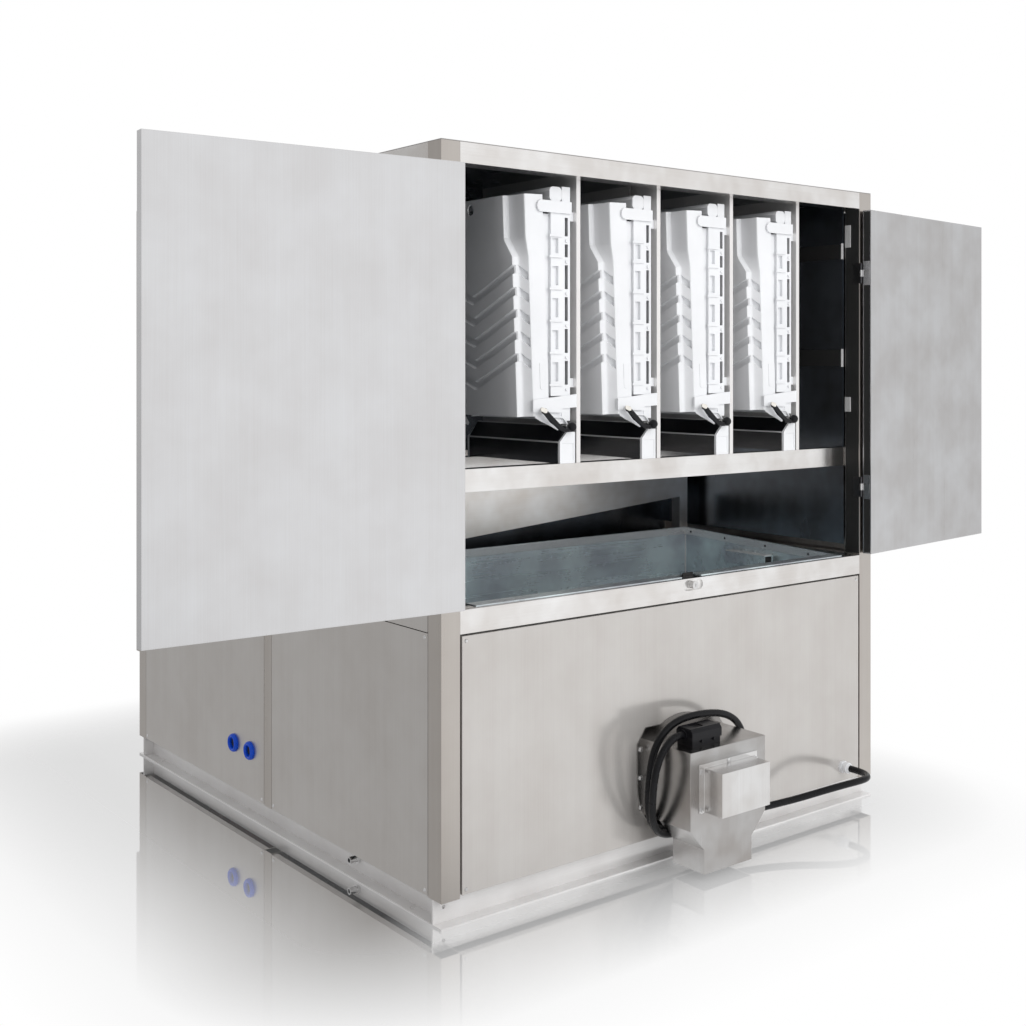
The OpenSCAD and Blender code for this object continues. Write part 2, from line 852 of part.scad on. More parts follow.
module lever(i) {
    color("black") cab() at_module(i) {
        difference() {
            union() {
                along_y(lever_y - lever_t / 2, lever_y + lever_t / 2) union() {
                    translate([lever_x, lever_h]) circle(7.5);
                    polygon([[lever_x + 2, lever_h + 6], [-66, 99], [-50, 93], [ball_x, 98],
                        [ball_x, 91], [-50, 83], [-70, 88], [-92, 104], [-102, 110],
                        [lever_x - 2, lever_h - 6]]);
                }
                translate([ball_x, lever_y, ball_h]) sphere(ball_r);
            }
            rod_y([lever_x, lever_y - lever_t, lever_h], pin_r + run_gap, 2 * lever_t);
        }
    }
}

// Ice hopper and screw conveyor

module hopper_section(t) {
    // The hopper seen from the front, with its floor sloping to the screw's trough
    r = trough_r + (t > 0 ? 0 : sheet);
    polygon([[hopper_in + t, hopper_slope_z], [auger_x - r, auger_z + 40 - t / 3],
        [auger_x - r, auger_z], [auger_x + r, auger_z], [auger_x + r, auger_z + 40 - t / 3],
        [hopper_x1 - t, hopper_slope_z], [hopper_x1 - t, hopper_back + 50],
        [hopper_in + t, hopper_back + 50]]);
    translate([auger_x, auger_z]) circle(r);
}

module ice_hopper() {
    lip = 40;
    band = 24;
    rim_front = low_top + sheet;
    above = hopper_back + 60;
    wall_x = hopper_x1 - sheet;
    bracket = [38, 175, 40];
    bracket_at = [wall_x - bracket[0], 300, low_rail_z - 10];
    bracket_wall = 3;
    color("lightsteelblue") cab() {
        difference() {
            union() {
                along_y(hopper_y, hopper_y1) hopper_section(0);
                rod_y([auger_x, 0, auger_z], tunnel_r, hopper_y + 1);
                block([hopper_in, hopper_y - lip, low_top],
                    [hopper_x1, hopper_y + 1, low_top + sheet]);
            }
            along_y(hopper_y + sheet, hopper_y1 - sheet) hopper_section(sheet);
            rod_y([auger_x, -cut, auger_z], trough_r, hopper_y + sheet + 2 * cut);
            rod_y([auger_x, hopper_y1 - sheet - cut, auger_z], shaft_r + 2, sheet + 2 * cut);
            // Rim falling from the back wall to the front lip
            along_x(0, body_w) polygon([[-cut, rim_front], [hopper_y + sheet, rim_front],
                [hopper_y1 - sheet, hopper_back], [hopper_y1 + cut, hopper_back],
                [hopper_y1 + cut, above], [-cut, above]]);
            block([lock_x - 25, 0, low_top - cut], [lock_x + 52, hopper_y - 2, low_top + 10]);
        }
        // Folded band along the back rim, and a channel bracket on the right wall
        block([hopper_in + sheet, hopper_y1 - sheet - 2, hopper_back - band],
            [hopper_x1 - sheet, hopper_y1 - sheet, hopper_back - 0.5]);
        difference() {
            block(bracket_at, bracket_at + bracket);
            block(bracket_at + [bracket_wall, -cut, -bracket_wall],
                bracket_at + bracket + [-bracket_wall, cut, -bracket_wall]);
        }
    }
}

module rear_deflector() {
    // Upright plate above the hopper's back wall, on two legs, with its foot sloping down
    y0 = hopper_y1 - sheet;
    leg = 38;
    color("gainsboro") cab() union() {
        along_y(y0, y0 + sheet) polygon([[hopper_in - 20, low_top + 35],
            [hopper_in + 382, low_top + 55], [hopper_x1, low_top + 137], [hopper_x1, mid_top - 2],
            [hopper_in - 20, mid_top - 2]]);
        for (x = [hopper_in - 20, hopper_x1 - 28])
            block([x, hopper_y1, low_top], [x + leg, hopper_y1 + rail_d, mid_top - 60]);
    }
}

module auger_shaft() {
    color("silver") cab() union() {
        rod_y([auger_x, -spout_d - 40, auger_z], 12, 60);
        rod_y([auger_x, -spout_d + 20, auger_z], shaft_r, hopper_y1 + spout_d + 50);
    }
}

// One corner of the flight's section: radius and half thickness, at an angle in degrees
function flight_point(r, half, a, y0) =
    [auger_x + r * cos(a), y0 + auger_pitch * a / 360 + half, auger_z + r * sin(a)];

module auger_flight() {
    y0 = -40;
    per_turn = 24;
    rings = floor((hopper_y1 - 60 - y0) / auger_pitch * per_turn) + 1;
    inner = (shaft_r + 0.1) / cos(180 / per_turn);
    section = [[auger_r, -3], [auger_r, 3], [inner, 5], [inner, -5]];
    points = [for (i = [0:rings - 1], c = section)
        flight_point(c[0], c[1], 360 * i / per_turn, y0)];
    walls = [for (i = [0:rings - 2], k = [0:3], h = [0:1])
        let(a = i * 4 + k, b = i * 4 + (k + 1) % 4)
        h == 0 ? [a, a + 4, b] : [b, a + 4, b + 4]];
    e = 4 * (rings - 1);
    color("lightgray") cab()
        polyhedron(points, concat(walls, [[0, 1, 2, 3], [e + 3, e + 2, e + 1, e]]));
}

module bearing_ring(y, bore, l) {
    difference() {
        rod_y([auger_x, y, auger_z], bearing_r, l);
        rod_y([auger_x, y - cut, auger_z], bore + run_gap, l + 2 * cut);
    }
}

module auger_bearings() {
    color("dimgray") cab() {
        bearing_ring(-spout_d - 18, 12, 18);
        bearing_ring(hopper_y1, shaft_r, bearing_d);
    }
}

module gear_motor() {
    gear_r = 60;
    gear_h = 140;
    gear_d = 90;
    foot_t = 12;
    y0 = hopper_y1 + bearing_d + seat_gap;
    y1 = y0 + gear_d;
    z0 = base_h - base_t + sheet;
    color("steelblue") cab() difference() {
        union() {
            block([auger_x - gear_r, y0, auger_z - gear_h / 2],
                [auger_x + gear_r, y1, auger_z + gear_h / 2]);
            rod_y([auger_x, y1 - eps, auger_z], gear_r - 5, motor_l);
            rod_y([auger_x, y1 + motor_l - eps, auger_z], gear_r, motor_l / 4);
            for (x = [auger_x - gear_r, auger_x + gear_r - foot_t])
                block([x, y0, z0], [x + foot_t, y1, auger_z]);
        }
        rod_y([auger_x, y0 - cut, auger_z], shaft_r + run_gap, gear_d * 2 / 3);
    }
}

// Ice spout

function spout_outline(t) = [[spout_x0 + t, spout_z1 - t], [spout_x1 - t, spout_z1 - t],
    [spout_x1 - t, spout_z0 + t * 0.4], [neck_x1 - t, neck_taper + t * 0.4],
    [neck_x1 - t, neck_z - (t > 0 ? cut : 0)], [neck_x0 + t, neck_z - (t > 0 ? cut : 0)],
    [neck_x0 + t, neck_taper + t * 0.4], [spout_x0 + t, spout_z0 + t * 0.4]];

module spout_box() {
    color("darkgray") cab() difference() {
        union() {
            along_y(-spout_d, neck_back) polygon(spout_outline(0));
            block([spout_x0, neck_back - 1, spout_z0], [spout_x1, -flange_t, spout_z1]);
        }
        along_y(-spout_d + sheet, neck_back - sheet) polygon(spout_outline(sheet));
        block([spout_x0 + sheet, -spout_d + sheet, spout_z0 + sheet],
            [spout_x1 - sheet, cut, spout_z1 - sheet]);
        rod_y([auger_x, -spout_d - cut, auger_z], 12 + 2, sheet + 2 * cut);
    }
}

module spout_flange() {
    color("dimgray") cab() difference() {
        along_y(-flange_t, 0) union() {
            translate([auger_x, auger_z - 16]) circle(flange_r);
            polygon([[auger_x - flange_r, auger_z - 16], [auger_x + flange_r, auger_z - 16],
                [auger_x + flange_r, flange_top - 42], [auger_x + flange_r - 31, flange_top],
                [auger_x - flange_r + 31, flange_top], [auger_x - flange_r, flange_top - 42]]);
        }
        rod_y([auger_x, -flange_t - cut, auger_z], tunnel_r + 1, flange_t + 2 * cut);
    }
}

module spout_cover() {
    y0 = -spout_d - cover_d;
    lip = 20;
    color("darkgray") cab() difference() {
        union() {
            block([cover_x0, y0, cover_z0], [cover_x1, -spout_d - 2, cover_z1]);
            block([cover_x0 - lip, -spout_d - 2, cover_z0], [cover_x1 + lip, -spout_d, cover_z1 + 12]);
        }
        block([cover_x0 + sheet, y0 + sheet, cover_z0 + sheet],
            [cover_x1 - sheet, -spout_d + cut, cover_z1 - sheet]);
    }
}

module bolt_head(x, y, z) {
    translate([x, y, z]) rotate([90, 0, 0]) union() {
        cylinder(r = 8, h = 1.5);
        translate([0, 0, 1.5 - eps]) cylinder(r1 = 6, r2 = 4.5, h = 5);
    }
}

module spout_bolts() {
    color("white") cab() {
        for (s = [-1, 1], z = [166, 245, 322])
            bolt_head(auger_x + s * (spout_w / 2 + 13), -flange_t, z);
        for (x = [cover_x0 - 11, cover_x1 + 11], z = [cover_z0 + 8, cover_z1 - 8])
            bolt_head(x, -spout_d - 2, z);
    }
}

// Power cable

function unit(v) = v / norm(v);

// A point of the smooth curve that the route's points pull, which starts and ends on them
function bend_point(p, i, t) =
    let(b = p[i], c = p[i + 1], a = i > 0 ? p[i - 1] : 2 * b - c,
        d = i + 2 < len(p) ? p[i + 2] : 2 * c - b, u = 1 - t)
    (pow(u, 3) * a + (3 * pow(t, 3) - 6 * pow(t, 2) + 4) * b
        + (3 * pow(u, 3) - 6 * pow(u, 2) + 4) * c + pow(t, 3) * d) / 6;
function smooth_route(p, n) = concat([for (i = [0:len(p) - 2], j = [0:n - 1])
    bend_point(p, i, j / n)], [p[len(p) - 1]]);
function directions(p, first, last) = [for (i = [0:len(p) - 1])
    unit(i == 0 ? first : i == len(p) - 1 ? last : p[i + 1] - p[i - 1])];
function carried(t, i, n) = i == len(t) ? [] :
    let(m = unit(n - (n * t[i]) * t[i])) concat([m], carried(t, i + 1, m));
function route_length(p, i = 0) = i >= len(p) - 1 ? 0
    : norm(p[i + 1] - p[i]) + route_length(p, i + 1);

// A tube through the points p, with its ends square to the directions first and last
module tube_along(p, r, sides, first, last) {
    t = directions(p, first, last);
    n = carried(t, 0, [0, 0, 1]);
    rings = len(p);
    points = [for (i = [0:rings - 1], k = [0:sides - 1]) let(a = 360 * k / sides)
        p[i] + r * (cos(a) * n[i] + sin(a) * cross(t[i], n[i]))];
    walls = [for (i = [0:rings - 2], k = [0:sides - 1], h = [0:1])
        let(a = i * sides + k, b = i * sides + (k + 1) % sides)
        h == 0 ? [a, a + sides, b] : [b, a + sides, b + sides]];
    near_end = [[for (k = [0:sides - 1]) k]];
    far_end = [[for (k = [sides - 1:-1:0]) (rings - 1) * sides + k]];
    polyhedron(points, concat(walls, near_end, far_end));
}

module power_cable() {
    route = smooth_route(CABLE_ROUTE, cable_steps);
    end = len(CABLE_ROUTE) - 1;
    echo(power_cable_length_mm = route_length(route));
    color("black") cab() tube_along(route, cable_d / 2, cable_sides,
        CABLE_ROUTE[1] - CABLE_ROUTE[0], CABLE_ROUTE[end] - CABLE_ROUTE[end - 1]);
}

module cable_gland() {
    color("white") cab() difference() {
        union() {
            translate([gland_x, 0, gland_z]) rotate([90, 0, 0]) {
                cylinder(r = 19, h = 9, $fn = 6);
                cylinder(r = 15, h = gland_len - 8);
                translate([0, 0, 14]) cylinder(r = 16.5, h = 12);
                translate([0, 0, gland_len - 8 - eps]) cylinder(r1 = 15, r2 = 12.5, h = 8);
            }
            rod_y([gland_x, -eps, gland_z], cable_d / 2 + 2.5, 20);
            rod_y([gland_x, sheet + 0.2, gland_z], 18, 7);
        }
        rod_y([gland_x, 10, gland_z], cable_d / 2, 20);
    }
}

module cable_connector() {
    base_top = spout_z1 + 16;
    mid_y = (hood_y0 + hood_y1) / 2;
    color("black") cab() difference() {
        union() {
            block([hood_x0 + 6, hood_y0 + 2, spout_z1], [hood_x1 - 4, hood_y1 - 2, base_top]);
            along_x(hood_x0 + 4, hood_x1) polygon([[hood_y0, base_top - 1],
                [hood_y0, hood_top - 10], [hood_y0 + 8, hood_top], [hood_y1 - 8, hood_top],
                [hood_y1, hood_top - 10], [hood_y1, base_top - 1]]);
            rod_x([hood_x0, -112, 376], cable_d / 2 + 4, 6);
            for (x = [hood_x0 + 40, hood_x1 - 30], y = [hood_y0 - 3, hood_y1 - 1])
                rod_y([x, y, base_top - 4], 4, 4);
        }
        block([hood_x0 + 30, mid_y - 14, hood_top - 3], [hood_x0 + 62, mid_y + 14, hood_top + cut]);
    }
}

// Water, drain and refrigeration

module water_fittings() {
    color("royalblue") cab() for (y = water_y) difference() {
        union() {
            translate([-14, y, cond_z]) rotate([0, 90, 0]) cylinder(r = 30, h = 14, $fn = 48);
            translate([-20, y, cond_z]) rotate([0, 90, 0]) cylinder(r = 24, h = 8);
            rod_x([-eps, y, cond_z], water_r + 6, water_len);
        }
        rod_x([-20 - cut, y, cond_z], water_r, water_len + 20 + 2 * cut);
    }
}

module drain_nipple() {
    x1 = base_flange + 12;
    color("silver") cab() difference() {
        union() {
            rod_x([drain_tip, drain_y, drain_z], drain_r - 0.1, x1 - drain_tip);
            translate([base_flange - base_t - 7, drain_y, drain_z]) rotate([0, 90, 0])
                cylinder(r = 14, h = 7, $fn = 6);
        }
        rod_x([drain_tip - cut, drain_y, drain_z], drain_bore, x1 - drain_tip + 2 * cut);
    }
}

module compressor() {
    z0 = base_h - base_t + sheet;
    foot = 18;
    color("black") cab() translate([comp_x, comp_y, z0]) union() {
        for (a = [45:90:315]) rotate([0, 0, a]) translate([comp_r + 15, 0, 0])
            cylinder(r = 16, h = foot + 1);
        translate([-comp_r - 5, -comp_r - 5, foot]) cube([2 * comp_r + 10, 2 * comp_r + 10, 6]);
        translate([0, 0, foot + 5]) cylinder(r = comp_r, h = comp_h - 60);
        translate([0, 0, foot + comp_h - 55]) intersection() {
            sphere(comp_r);
            translate([0, 0, comp_r / 2]) cube([3 * comp_r, 3 * comp_r, comp_r], center = true);
        }
        translate([-40, -comp_r - 40, 200]) cube([80, 60, 90]);
    }
}

module condenser() {
    z0 = base_h - base_t + sheet;
    color("saddlebrown") cab() union() {
        rod_y([cond_x, cond_y0, cond_z + 10], cond_r, cond_y1 - cond_y0);
        for (y = [cond_y0 - 12, cond_y1 - 1]) rod_y([cond_x, y, cond_z + 10], cond_r + 12, 13);
        for (y = [cond_y0 + 80, cond_y1 - 120])
            block([cond_x - 80, y, z0], [cond_x + 80, y + 40, cond_z - 40]);
        for (y = water_y) rod_x([water_len + 0.3, y, cond_z], water_r, cond_x - water_len - 60);
    }
}

module refrigerant_pipes() {
    r = 8;
    z0 = base_h - base_t + sheet;
    head = z0 + 18 + comp_h - 55 + comp_r;
    color("peru") cab() union() {
        // From the compressor's top, over and down to the condenser
        translate([comp_x, comp_y, head + 0.3]) cylinder(r = r, h = 80 - 0.3);
        translate([comp_x - 40, comp_y, head + 80]) rotate([90, 0, 0])
            rotate_extrude(angle = 90) translate([40, 0]) circle(r);
        rod_x([cond_x + 40, comp_y, head + 120], r, comp_x - cond_x - 80);
        translate([cond_x + 40, comp_y, head + 80]) rotate([90, 0, 0]) rotate([0, 0, 90])
            rotate_extrude(angle = 90) translate([40, 0]) circle(r);
        translate([cond_x, comp_y, cond_z + 10 + cond_r + 0.3])
            cylinder(r = r, h = head + 80 - cond_z - 10 - cond_r - 0.3);
    }
}

// Doors. Each is drawn shut and turned open about its hinge axis.

module left_swing() {
    turned(left_in - hinge_in, hinge_y, -left_door_angle) children();
}

module right_swing() {
    turned(right_in + hinge_in, hinge_y, right_door_angle) children();
}

module door_skin(x0, x1) {
    tray_y([x0, 0, door_z0], [x1, door_t, door_z1], sheet);
}

module door_liner(x0, x1) {
    block([x0 + sheet, sheet, door_z0 + sheet], [x1 - sheet, door_t, door_z1 - sheet]);
}

module left_door_skin() {
    color("lightgray") cab() left_swing() door_skin(left_x0, left_x1);
}

module right_door_skin() {
    color("lightgray") cab() right_swing() door_skin(right_x0, right_x1);
}

module left_door_liner() {
    color("silver") cab() left_swing() door_liner(left_x0, left_x1);
}

module right_door_liner() {
    color("silver") cab() right_swing() door_liner(right_x0, right_x1);
}

// Strips between the hinges, on the hinge edge of the left door as drawn shut
module edge_gasket() {
    breaks = concat([door_z0 + 4], [for (z = hinge_z, s = [-6, hinge_h + 6]) z + s],
        [door_z1 - 4]);
    for (i = [0:2:len(breaks) - 2])
        block([left_x0 - 0.9, 4, breaks[i]], [left_x0, door_t - 3, breaks[i + 1]]);
}

module left_door_gasket() {
    color("black") cab() left_swing() edge_gasket();
}

module right_door_gasket() {
    color("black") cab() right_swing() other_side() edge_gasket();
}

// A hinge has two outer knuckles on the frame and one middle knuckle on the door
module frame_leaf(z) {
    front = -run_gap;
    top = hinge_h - knuckle_gap;
    union() {
        for (k = [0, 2]) {
            translate([hinge_x, hinge_y, z + k * knuckle_h])
                cylinder(r = knuckle_r, h = knuckle_h - knuckle_gap);
            block([hinge_x, front - leaf_t, z + k * knuckle_h],
                [left_in + leaf_t, front, z + (k + 1) * knuckle_h - knuckle_gap]);
        }
        block([left_in, front - leaf_t, z], [left_in + leaf_t, leaf_w, z + top]);
        translate([hinge_x, hinge_y, z + eps]) cylinder(r = hinge_pin_r, h = top - 2 * eps);
    }
}

module door_leaf(z) {
    front = -leaf_t - knuckle_gap;
    z0 = z + knuckle_h;
    z1 = z + 2 * knuckle_h - knuckle_gap;
    difference() {
        union() {
            translate([hinge_x, hinge_y, z0]) cylinder(r = knuckle_r, h = z1 - z0);
            block([hinge_x, front - leaf_t, z0], [left_x0, front, z1]);
            block([left_x0 - leaf_t, front - leaf_t, z0], [left_x0, leaf_w, z1]);
        }
        translate([hinge_x, hinge_y, z]) cylinder(r = hinge_pin_r + run_gap, h = hinge_h);
    }
}

module frame_hinges() {
    color("white") cab() both_sides() for (z = hinge_z) frame_leaf(z);
}

module left_door_hinges() {
    color("white") cab() left_swing() for (z = hinge_z) door_leaf(z);
}

module right_door_hinges() {
    color("white") cab() right_swing() other_side() for (z = hinge_z) door_leaf(z);
}

// Door lock: a barrel in the low rail and a cam behind it, standing up at rest

module lock_barrel() {
    color("silver") cab() difference() {
        union() {
            rod_y([lock_x, -9, lock_z], lock_r - run_gap, rail_d + 9);
            rod_y([lock_x, -9, lock_z], lock_r + 1.5, 6);
            rod_y([lock_x, rail_d, lock_z], lock_r + 3, 2.5);
        }
        block([lock_x - 1, -10, lock_z - 4], [lock_x + 1, -6, lock_z + 4]);
        rod_y([lock_x, rail_d - 20, lock_z], lock_spindle_r + run_gap, 40);
    }
}

module lock_cam() {
    color("black") cab() union() {
        rod_y([lock_x, rail_d - 19, lock_z], lock_spindle_r, cam_y + 6 - rail_d + 19);
        along_y(cam_y, cam_y + 4) union() {
            translate([lock_x, lock_z]) circle(12);
            polygon([[lock_x - 10, lock_z - 2], [lock_x + 8, lock_z - 8], [lock_x + 42, lock_z + 10],
                [lock_x + 42, lock_z + 27], [lock_x + 4, lock_z + 27]]);
        }
    }
}

base_frame();
floor_pan();
posts();
top_rails();
middle_rails();
low_rails();
roof_panel();
front_panel();
left_panels();
right_panels();
back_panel();
rear_cover();
panel_screws();
inner_liners();
bulkhead();
dividers();
module_frames();
evaporators();
evaporator_tubes();
distributors();
water_troughs();
trough_caps();
ice_slides();
curtain(0);  // curtain_1
curtain(1);  // curtain_2
curtain(2);  // curtain_3
curtain(3);  // curtain_4
lever(0);  // lever_1
lever(1);  // lever_2
lever(2);  // lever_3
lever(3);  // lever_4
ice_hopper();
rear_deflector();
auger_shaft();
auger_flight();
auger_bearings();
gear_motor();
spout_flange();
spout_box();
spout_cover();
spout_bolts();
cable_gland();
power_cable();
cable_connector();
water_fittings();
drain_nipple();
left_door_skin();
right_door_skin();
left_door_liner();
right_door_liner();
left_door_gasket();
right_door_gasket();
frame_hinges();
left_door_hinges();
right_door_hinges();
lock_barrel();
lock_cam();
compressor();
condenser();
refrigerant_pipes();
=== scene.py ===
"""Dresses the cube ice machine: finishes, cable, small fittings, studio and camera."""

import logging
import math
from collections.abc import Callable, Iterable
from dataclasses import dataclass, field
from enum import Enum
from functools import cache, partial
from typing import ClassVar

import bmesh
import bpy
from mathutils import Matrix, Vector

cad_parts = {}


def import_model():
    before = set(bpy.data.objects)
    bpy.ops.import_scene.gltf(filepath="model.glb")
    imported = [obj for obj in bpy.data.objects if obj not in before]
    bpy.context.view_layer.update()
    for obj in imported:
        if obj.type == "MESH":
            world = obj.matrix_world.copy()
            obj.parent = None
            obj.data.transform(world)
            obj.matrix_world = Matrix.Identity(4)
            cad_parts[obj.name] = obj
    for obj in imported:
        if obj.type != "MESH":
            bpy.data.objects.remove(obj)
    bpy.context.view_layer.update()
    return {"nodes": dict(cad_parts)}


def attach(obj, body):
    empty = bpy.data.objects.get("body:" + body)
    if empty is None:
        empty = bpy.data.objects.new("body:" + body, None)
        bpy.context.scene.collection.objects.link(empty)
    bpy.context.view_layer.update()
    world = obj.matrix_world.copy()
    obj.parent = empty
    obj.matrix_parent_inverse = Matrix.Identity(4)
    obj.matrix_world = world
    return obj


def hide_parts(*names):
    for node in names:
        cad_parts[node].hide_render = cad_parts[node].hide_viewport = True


log = logging.getLogger("ice_machine")

# The cabinet's overall width and depth, in metres; the row's origin is the middle of its footprint
CABINET_W = 1.650
CABINET_D = 1.845
BODY = "cabinet"

# How close points are welded before an edge is rounded, in metres, and in how many steps it is
WELD_REACH = 0.00002
ROUNDING_STEPS = 2

Colour = tuple[float, float, float]
Point = tuple[float, float, float]
Outline = tuple[tuple[float, float], ...]
Place = Callable[[float, float, float], Vector]


def cab(x: float, y: float, z: float) -> Vector:
    """A point given in millimetres from the cabinet's front left corner, in the row frame.

    Args:
        x: Distance to the right, in millimetres.
        y: Distance to the back, in millimetres.
        z: Height, in millimetres.

    Returns:
        The point in metres.
    """
    return Vector((x / 1000 - CABINET_W / 2, y / 1000 - CABINET_D / 2, z / 1000))


def from_side(y: float, x: float, z: float) -> Vector:
    """The same point as cab, for an outline that is drawn from the side."""
    return cab(x, y, z)


def metres(outline: Outline) -> list[tuple[float, float]]:
    """An outline given in millimetres, in metres."""
    return [(radius / 1000, height / 1000) for radius, height in outline]


class Grain(Enum):
    """The way that a steel sheet's brushing runs, as noise scales along X, Y and Z."""

    ALONG_X = (3.0, 420.0, 420.0)
    ALONG_Y = (420.0, 3.0, 420.0)
    ALONG_Z = (420.0, 420.0, 3.0)


@dataclass(frozen=True)
class Noise:
    """A noise texture: its scale, its octaves, and how much the finer octaves count."""

    scale: float
    detail: float
    rough: float = 0.5


class Link:
    """Short calls that add nodes to one shader tree."""

    def __init__(self, tree: bpy.types.NodeTree) -> None:
        """Keeps the tree that the nodes go into."""
        self.tree = tree

    def node(self, kind: str, **values: object) -> bpy.types.Node:
        """Adds a node.

        Args:
            kind: Blender's name for the node type.
            **values: Properties to set on it.

        Returns:
            The new node.
        """
        made = self.tree.nodes.new(kind)
        for name, value in values.items():
            setattr(made, name, value)
        return made

    def join(self, out: bpy.types.NodeSocket, into: bpy.types.NodeSocket) -> None:
        """Links an output to an input."""
        self.tree.links.new(out, into)

    def feed(self, value: object, into: bpy.types.NodeSocket) -> None:
        """Gives an input a value.

        Args:
            value: An output to link, or the number or numbers to set.
            into: The input.
        """
        if isinstance(value, bpy.types.NodeSocket):
            self.join(value, into)
        else:
            into.default_value = value

    def math(self, operation: str, a: object, b: object) -> bpy.types.NodeSocket:
        """Adds a math node.

        Args:
            operation: Blender's name for the operation.
            a: A number or an output.
            b: A number or an output.

        Returns:
            The result's output.
        """
        made = self.node("ShaderNodeMath", operation=operation)
        self.feed(a, made.inputs[0])
        self.feed(b, made.inputs[1])
        return made.outputs[0]

    def vector(self, operation: str, a: object, b: object = None) -> bpy.types.Node:
        """Adds a vector math node.

        Args:
            operation: Blender's name for the operation.
            a: The first vector's output.
            b: The second vector, or the factor where the operation is SCALE.

        Returns:
            The node.
        """
        made = self.node("ShaderNodeVectorMath", operation=operation)
        self.feed(a, made.inputs[0])
        if b is not None:
            self.feed(b, made.inputs["Scale" if operation == "SCALE" else 1])
        return made

    def mapped(
        self, value: object, low: float, high: float, to_low: float = 0.0, to_high: float = 1.0
    ) -> bpy.types.NodeSocket:
        """Adds a map range node.

        Args:
            value: The output to map.
            low: Start of its range.
            high: End of its range.
            to_low: What the start becomes.
            to_high: What the end becomes.

        Returns:
            The mapped output.
        """
        made = self.node("ShaderNodeMapRange")
        self.join(value, made.inputs["Value"])
        limits = {"From Min": low, "From Max": high, "To Min": to_low, "To Max": to_high}
        for name, number in limits.items():
            made.inputs[name].default_value = number
        return made.outputs[0]

    def noise(self, vector: bpy.types.NodeSocket, kind: Noise) -> bpy.types.NodeSocket:
        """Adds a noise texture.

        Args:
            vector: Where the noise is read.
            kind: Its settings.

        Returns:
            The noise value's output.
        """
        made = self.node("ShaderNodeTexNoise")
        made.inputs["Scale"].default_value = kind.scale
        made.inputs["Detail"].default_value = kind.detail
        made.inputs["Roughness"].default_value = kind.rough
        self.join(vector, made.inputs["Vector"])
        return made.outputs["Fac"]

    def give(self, **values: bpy.types.NodeSocket) -> bpy.types.NodeTree:
        """Joins a group's results to its outputs.

        Args:
            **values: Each result, by its output's name.

        Returns:
            The group's tree.
        """
        out = self.node("NodeGroupOutput")
        for title, value in values.items():
            self.join(value, out.inputs[title])
        return self.tree


